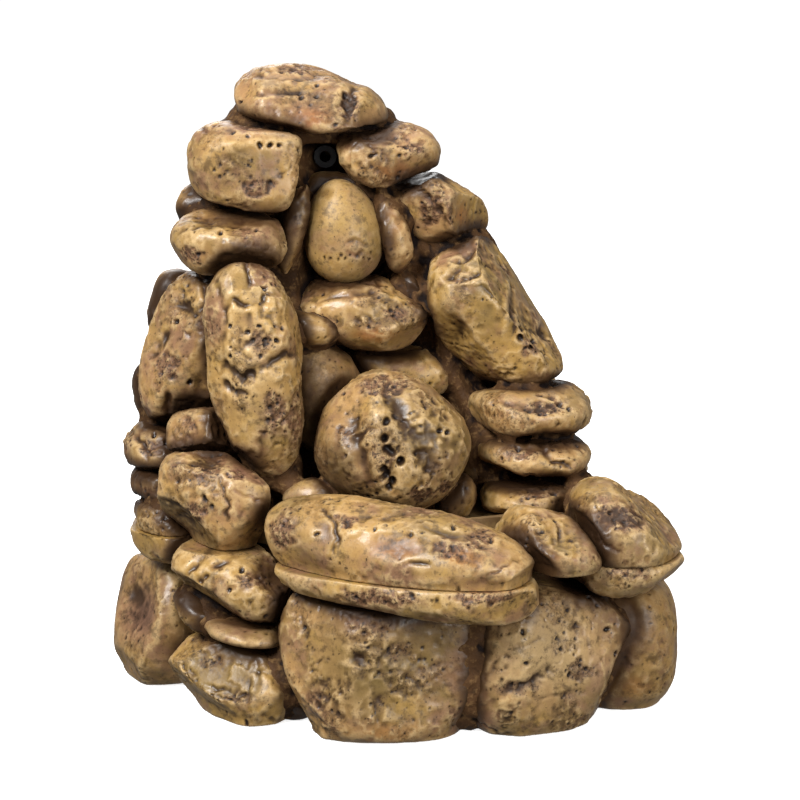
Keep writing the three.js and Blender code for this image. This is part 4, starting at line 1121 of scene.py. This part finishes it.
MARKS["base_front_right_stone"] = dict(
    crack=[
        ([(-0.04, 0.23), (-0.3, 0.15), (-0.51, -0.05), (-0.62, -0.26)], 1.2, 1.0),
        ([(-0.2, -0.45), (0.04, -0.53), (0.3, -0.5)], 0.8, 0.8),
    ],
    groove=[([(-0.54, -0.48), (-0.25, -0.36), (0.06, -0.18)], 1.8, 3.2, 1.8, 0.3, 0.7)],
    worn=[(-0.25, -0.36, 15, 5), (0.4, -0.2, 9, 7)],
    dark=[(0.4, -0.2, 8, 6, 0.4), (0.72, -0.3, 7, 4, 0.5)],
    dent=[(0.33, 0.36, 3.5, 2.2, 1.4, 0.5)],
    gold=[(-0.3, 0.5, 14, 8, 0.6)],
    # pale over the stone: painted light where its neighbours shade it
    pale=[(0.0, 0.1, 40, 34)],
    holes=[(1.3, 1.9,
        (-0.19, -0.06), (-0.24, 0.32), (0.51, 0.72), (0.69, 0.29), (0.8, -0.02), (0.89, -0.05))],
)
MARKS["base_right_stone"] = dict(
    pink=[(0.2, 0.2, 16, 20, 0.5)],
    orange=[(0.2, -0.6, 16, 8, 0.5)],
)

# Stones too small or too tucked away to be CAD solids: size, place, and turn if there is one.
FILLERS = {
    "tower": {
        "niche_arch_stone": ((56, 22, 48), (-28, 20, 206), (0, 10, 0)),
        "leaf_stone_left": ((15, 20, 48), (-48, 4, 207), (0, 14, 0)),
        "leaf_stone_right": ((15, 16, 38), (-3, 8, 202), (0, -14, 0)),
        "shoulder_back_stone": ((30, 34, 28), (-87, 18, 213)),
        "shoulder_rear_stone": ((38, 34, 28), (-69, 22, 240), (0, 10, 0)),
        "shoulder_low_chink": ((38, 34, 30), (-74, 14, 190)),
        "pillar_back_stone": ((32, 34, 36), (-101, 28, 165), (0, 14, 0)),
        "pillar_low_back_stone": ((32, 34, 38), (-108, 20, 127)),
        "ledge_wedge_stone": ((34, 24, 16), (-42, -9, 164), (0, 8, 0)),
        "ledge_side_stone": ((24, 22, 20), (6, 16, 175), (0, 20, 0)),
        "ledge_back_stone": ((40, 20, 26), (6, 30, 170), (0, 20, 0)),
        "niche_right_stone": ((22, 26, 34), (37, 4, 98), (0, -12, 10)),
        "niche_low_left_stone": ((30, 26, 20), (-38, -34, 91), (0, -6, 0)),
        "niche_low_right_stone": ((22, 22, 24), (24, -22, 90)),
        "pillar_foot_stone": ((26, 26, 22), (-56, -26, 104), (0, 10, 0)),
        "right_back_stone": ((34, 30, 34), (16, 34, 190), (0, 20, 0)),
        "right_gap_stone": ((30, 34, 44), (52, 38, 146), (0, -20, 0)),
        "right_high_stone": ((30, 30, 36), (31, 40, 186), (0, -24, 0)),
        "right_low_stone": ((36, 54, 22), (70, 26, 88), (0, 0, -10)),
        "right_middle_stone": ((30, 40, 24), (58, 38, 114), (0, 8, -20)),
        "rim_right_stone": ((26, 46, 22), (86, -14, 84), (0, 6, 6)),
        "rim_rear_right_stone": ((34, 36, 26), (69, 54, 87), (0, 0, -40)),
        "rear_low_chink_right": ((30, 26, 34), (22, 84, 92), (0, 8, -16)),
        "rear_low_chink_left": ((30, 26, 40), (-50, 82, 98), (0, -12, 20)),
        "rear_left_rim_stone": ((34, 40, 30), (-92, 50, 92), (0, 10, 40)),
        "rear_left_chink": ((34, 30, 34), (-96, 42, 126), (0, -16, 40)),
        "rear_chink_left": ((34, 26, 26), (-48, 76, 132), (0, 14, 10)),
        "rear_chink_middle": ((36, 26, 22), (0, 80, 130), (0, -8, -8)),
        "rear_chink_right": ((34, 28, 26), (54, 50, 132), (0, 10, -40)),
        "rear_middle_chink_left": ((22, 24, 34), (-48, 72, 164), (0, 6, 12)),
        "rear_middle_chink_right": ((24, 24, 34), (8, 68, 162), (0, -14, -16)),
        "rear_upper_chink_left": ((38, 26, 22), (-66, 56, 186), (0, 10, 24)),
        "rear_upper_chink_middle": ((32, 24, 22), (-34, 68, 186), (0, -10, 4)),
        "rear_upper_chink_right": ((34, 26, 26), (6, 60, 186), (0, 12, -24)),
        "rear_top_chink_middle": ((22, 22, 42), (-38, 62, 214), (0, 8, 0)),
        "rear_top_chink_left": ((34, 28, 22), (-64, 42, 243), (0, 10, 30)),
        "rear_top_chink_right": ((36, 28, 24), (-24, 48, 243), (0, -12, -14)),
        "crown_left_stone": ((30, 30, 20), (-62, 24, 252)),
        "crown_right_stone": ((30, 28, 18), (-18, 34, 252), (0, 8, 0)),
    },
    "basin": {
        "base_middle_chink": ((36, 36, 60), (27, -73, 26)),
        "base_left_chink": ((36, 34, 34), (-50, -60, 14)),
        "left_wedge_underside": ((42, 60, 26), (-102, -7, 69), (0, 14, 8)),
        "leaf_stone_low": ((34, 30, 16), (-86, -44, 42), (0, 38, -20)),
        "basin_chink_right": ((26, 24, 30), (76, 66, 22), (0, 0, -40)),
        "basin_chink_right_high": ((34, 28, 26), (76, 62, 58), (0, 12, -40)),
        "basin_chink_rear": ((26, 20, 34), (6, 94, 20)),
        "basin_chink_rear_left": ((26, 26, 40), (-64, 84, 24), (0, 10, 24)),
        "basin_chink_left": ((24, 26, 36), (-108, 38, 22)),
        "basin_chink_left_high": ((38, 34, 24), (-98, 34, 60), (0, 8, 0)),
        "basin_chink_side": ((26, 26, 40), (104, -6, 24)),
        "basin_chink_side_high": ((34, 40, 26), (94, -14, 60), (0, 6, 0)),
    },
}

# Stones whose whole smooth outline shows, made anew: size, place, turn, how square, how tapered.
WHOLE_STONES = {
    "egg_stone": ((37, 34, 49), (-26, 10, 204), (0, -7, 0), 2.0, 0.16),
    "ledge_stone": ((64, 42, 34), (-17, 8, 167), (0, 6, 0), 2.3),
    "base_right_stone": ((53, 62, 64), (98, -34, 26), (0, 0, 0), 2.9),
}
# Stones that close up on their neighbour: how much wider than the CAD solid, and how far to the right.
WIDENED_STONES = {"base_front_stone": (1.09, 2.5), "base_front_right_stone": (1.09, -2.5)}
BARE_STONES = ("egg_stone",)  # no mortar climbs these
SMOOTH_STONES = {  # the share of the wear that each gets
    "egg_stone": 0.15,
    "basin_disc_stone": 0.4,
    "niche_left_stone": 0.5,
    "base_right_stone": 0.5,
    "lip_long_stone": 0.6,
    "lip_long_underside": 0.7,
    "left_shoulder_stone": 0.7,
    "left_flat_stone": 0.7,
    "cap_stone": 0.75,
    "base_left_stone": 0.6,
}


# ---------------------------------------------------------------- building it


def stone_names(body):
    return [name for name in BODIES[body] if "stone" in name or "underside" in name]


def build_stones():
    plain = {name: welded(NODES[name].data) for body in ("basin", "tower") for name in stone_names(body)}
    plain.update({name: egg_mesh(*whole) for name, whole in WHOLE_STONES.items()})
    for name, (wider, shift) in WIDENED_STONES.items():
        widen(plain[name], wider, shift)
    for small_stones in FILLERS.values():
        plain.update({name: egg_mesh(*small) for name, small in small_stones.items()})
    blocks = [Block(name, mesh) for name, mesh in plain.items()]
    carved = {"basin": [], "tower": []}
    for seed, block in enumerate(blocks):
        name = block.name
        body = next(body for body in carved if name in BODIES[body] or name in FILLERS[body])
        cad_node = name if name in BODIES[body] else None
        levels = (TOWER_FLOOR, None) if body == "tower" else (0.0, BASIN_TOP)
        neighbours = stone_names(body)  # not the other casting's, so that the parting line stays fine
        others = [other for other in blocks if other.name in neighbours and other.name != name]
        if name in BARE_STONES:
            others = []
        settings = (FINE if name in MARKS else COARSE, seed * 7 + 3, levels, SMOOTH_STONES.get(name, 1.0))
        marks = MARKS.get(name, {})
        piece = carved_stone(name + "_carved", plain[name], body, marks, others, settings, cad_node)
        if name not in BARE_STONES:
            carved[body].append(piece.data)
    mortar("basin", carved["basin"], BASIN_SHORT, BASIN_TOP - BASIN_SHORT, 901)
    mortar("tower", carved["tower"], TOWER_FLOOR + TOWER_SHORT, OVER_ALL, 907)


def finish_cad_nodes():
    black = moulded_plastic("black_plastic", (0.007, 0.007, 0.008), (0.018, 0.018, 0.019))
    rubbers = (0.018, 0.018, 0.020), (0.05, 0.05, 0.052)
    rubber = plain_paint("rubber", (5, 4.0, 0.7), (0.45, 0.7), rubbers, (0.6, 0.8), bump=(0.2, 0.2))
    vinyls = (0.62, 0.68, 0.66), (0.72, 0.76, 0.72)
    ferrites = (0.035, 0.035, 0.037), (0.075, 0.075, 0.078)
    ceramics = (0.78, 0.76, 0.71), (0.86, 0.85, 0.82)
    finishes = {
        "splash_tray": tray_paint(),
        "outlet_hose": plain_paint(
            "clear_vinyl", (8, 2.0), (0.3, 0.7), vinyls, (0.12, 0.28), Transmission_Weight=0.55, IOR=1.45
        ),
        "impeller": plain_paint("ferrite", (0.5, 3.0), (0.3, 0.7), ferrites, 0.48, bump=(0.3, 0.1)),
        "impeller_shaft": plain_paint("ceramic", (3, 2.0), (0.3, 0.7), ceramics, 0.18),
        "intake_grille": moulded_plastic("blue_plastic", (0.03, 0.085, 0.2), (0.05, 0.12, 0.26)),
    }
    for name in ("pump_housing", "volute_cover", "flow_slider", "spout_elbow"):
        finishes[name] = black
    for name in ("cord_gland", "suction_cup_1", "suction_cup_2"):
        finishes[name] = rubber
    for name, material in finishes.items():
        mesh = NODES[name].data
        mesh.materials.clear()
        mesh.materials.append(material)


def camera():
    data = bpy.data.cameras.new("camera")
    data.lens = LENS
    data.sensor_width = 36
    camera_object = bpy.data.objects.new("camera", data)
    bpy.context.scene.collection.objects.link(camera_object)
    target = Vector(VIEW_TARGET) * MM
    camera_object.location = target + Vector(TO_VIEWER) * VIEW_DISTANCE * MM
    camera_object.rotation_euler = (target - camera_object.location).to_track_quat("-Z", "Y").to_euler()
    bpy.context.scene.camera = camera_object


def softbox(name, place, size, power, aim=(0, 0, 0.12)):
    data = bpy.data.lights.new(name, "AREA")
    data.shape = "RECTANGLE"
    data.size, data.size_y = size
    data.energy = power
    lamp = bpy.data.objects.new(name, data)
    bpy.context.scene.collection.objects.link(lamp)
    lamp.location = place
    lamp.rotation_euler = (Vector(aim) - lamp.location).to_track_quat("-Z", "Y").to_euler()


def stage_piece(name, mesh, material):
    """A piece of the studio that lights nothing and shows in no reflection."""
    mesh.materials.append(material)
    piece = bpy.data.objects.new(name, mesh)
    piece.visible_diffuse = False
    piece.visible_glossy = False
    bpy.context.scene.collection.objects.link(piece)
    return piece


def studio():
    bpy.context.scene.view_settings.view_transform = "Standard"
    world = bpy.data.worlds.new("studio")
    world.use_nodes = True
    world.node_tree.nodes["Background"].inputs["Color"].default_value = (1, 1, 1, 1)
    world.node_tree.nodes["Background"].inputs["Strength"].default_value = AMBIENT
    bpy.context.scene.world = world
    softbox("key_light", (-0.55, -0.75, 1.0), (0.5, 0.5), 26)
    softbox("fill_light", (0.7, -1.0, 0.5), (0.5, 0.7), 10)
    softbox("back_light", (-0.3, 1.2, 0.7), (0.6, 0.6), 4)
    softbox("top_light", (0.1, 0.25, 1.2), (0.8, 0.6), 5)
    floor_mesh = bpy.data.meshes.new("floor")
    corners = [(x * FLOOR_SIDE, y * FLOOR_SIDE, 0) for x, y in ((-1, -1), (1, -1), (1, 1), (-1, 1))]
    floor_mesh.from_pydata(corners, [], [(0, 1, 2, 3)])
    floor = stage_piece("floor", floor_mesh, floor_paint())
    floor.location.z = -FLOOR_GAP
    dome_mesh = bpy.data.meshes.new("backdrop")
    dome = bmesh.new()
    bmesh.ops.create_uvsphere(dome, u_segments=48, v_segments=24, radius=FLOOR_SIDE * 0.95)
    dome.to_mesh(dome_mesh)
    dome.free()
    backdrop = stage_piece("backdrop", dome_mesh, backdrop_paint())
    backdrop.visible_transmission = False
    backdrop.visible_shadow = False


camera()
studio()
build_stones()
finish_cad_nodes()
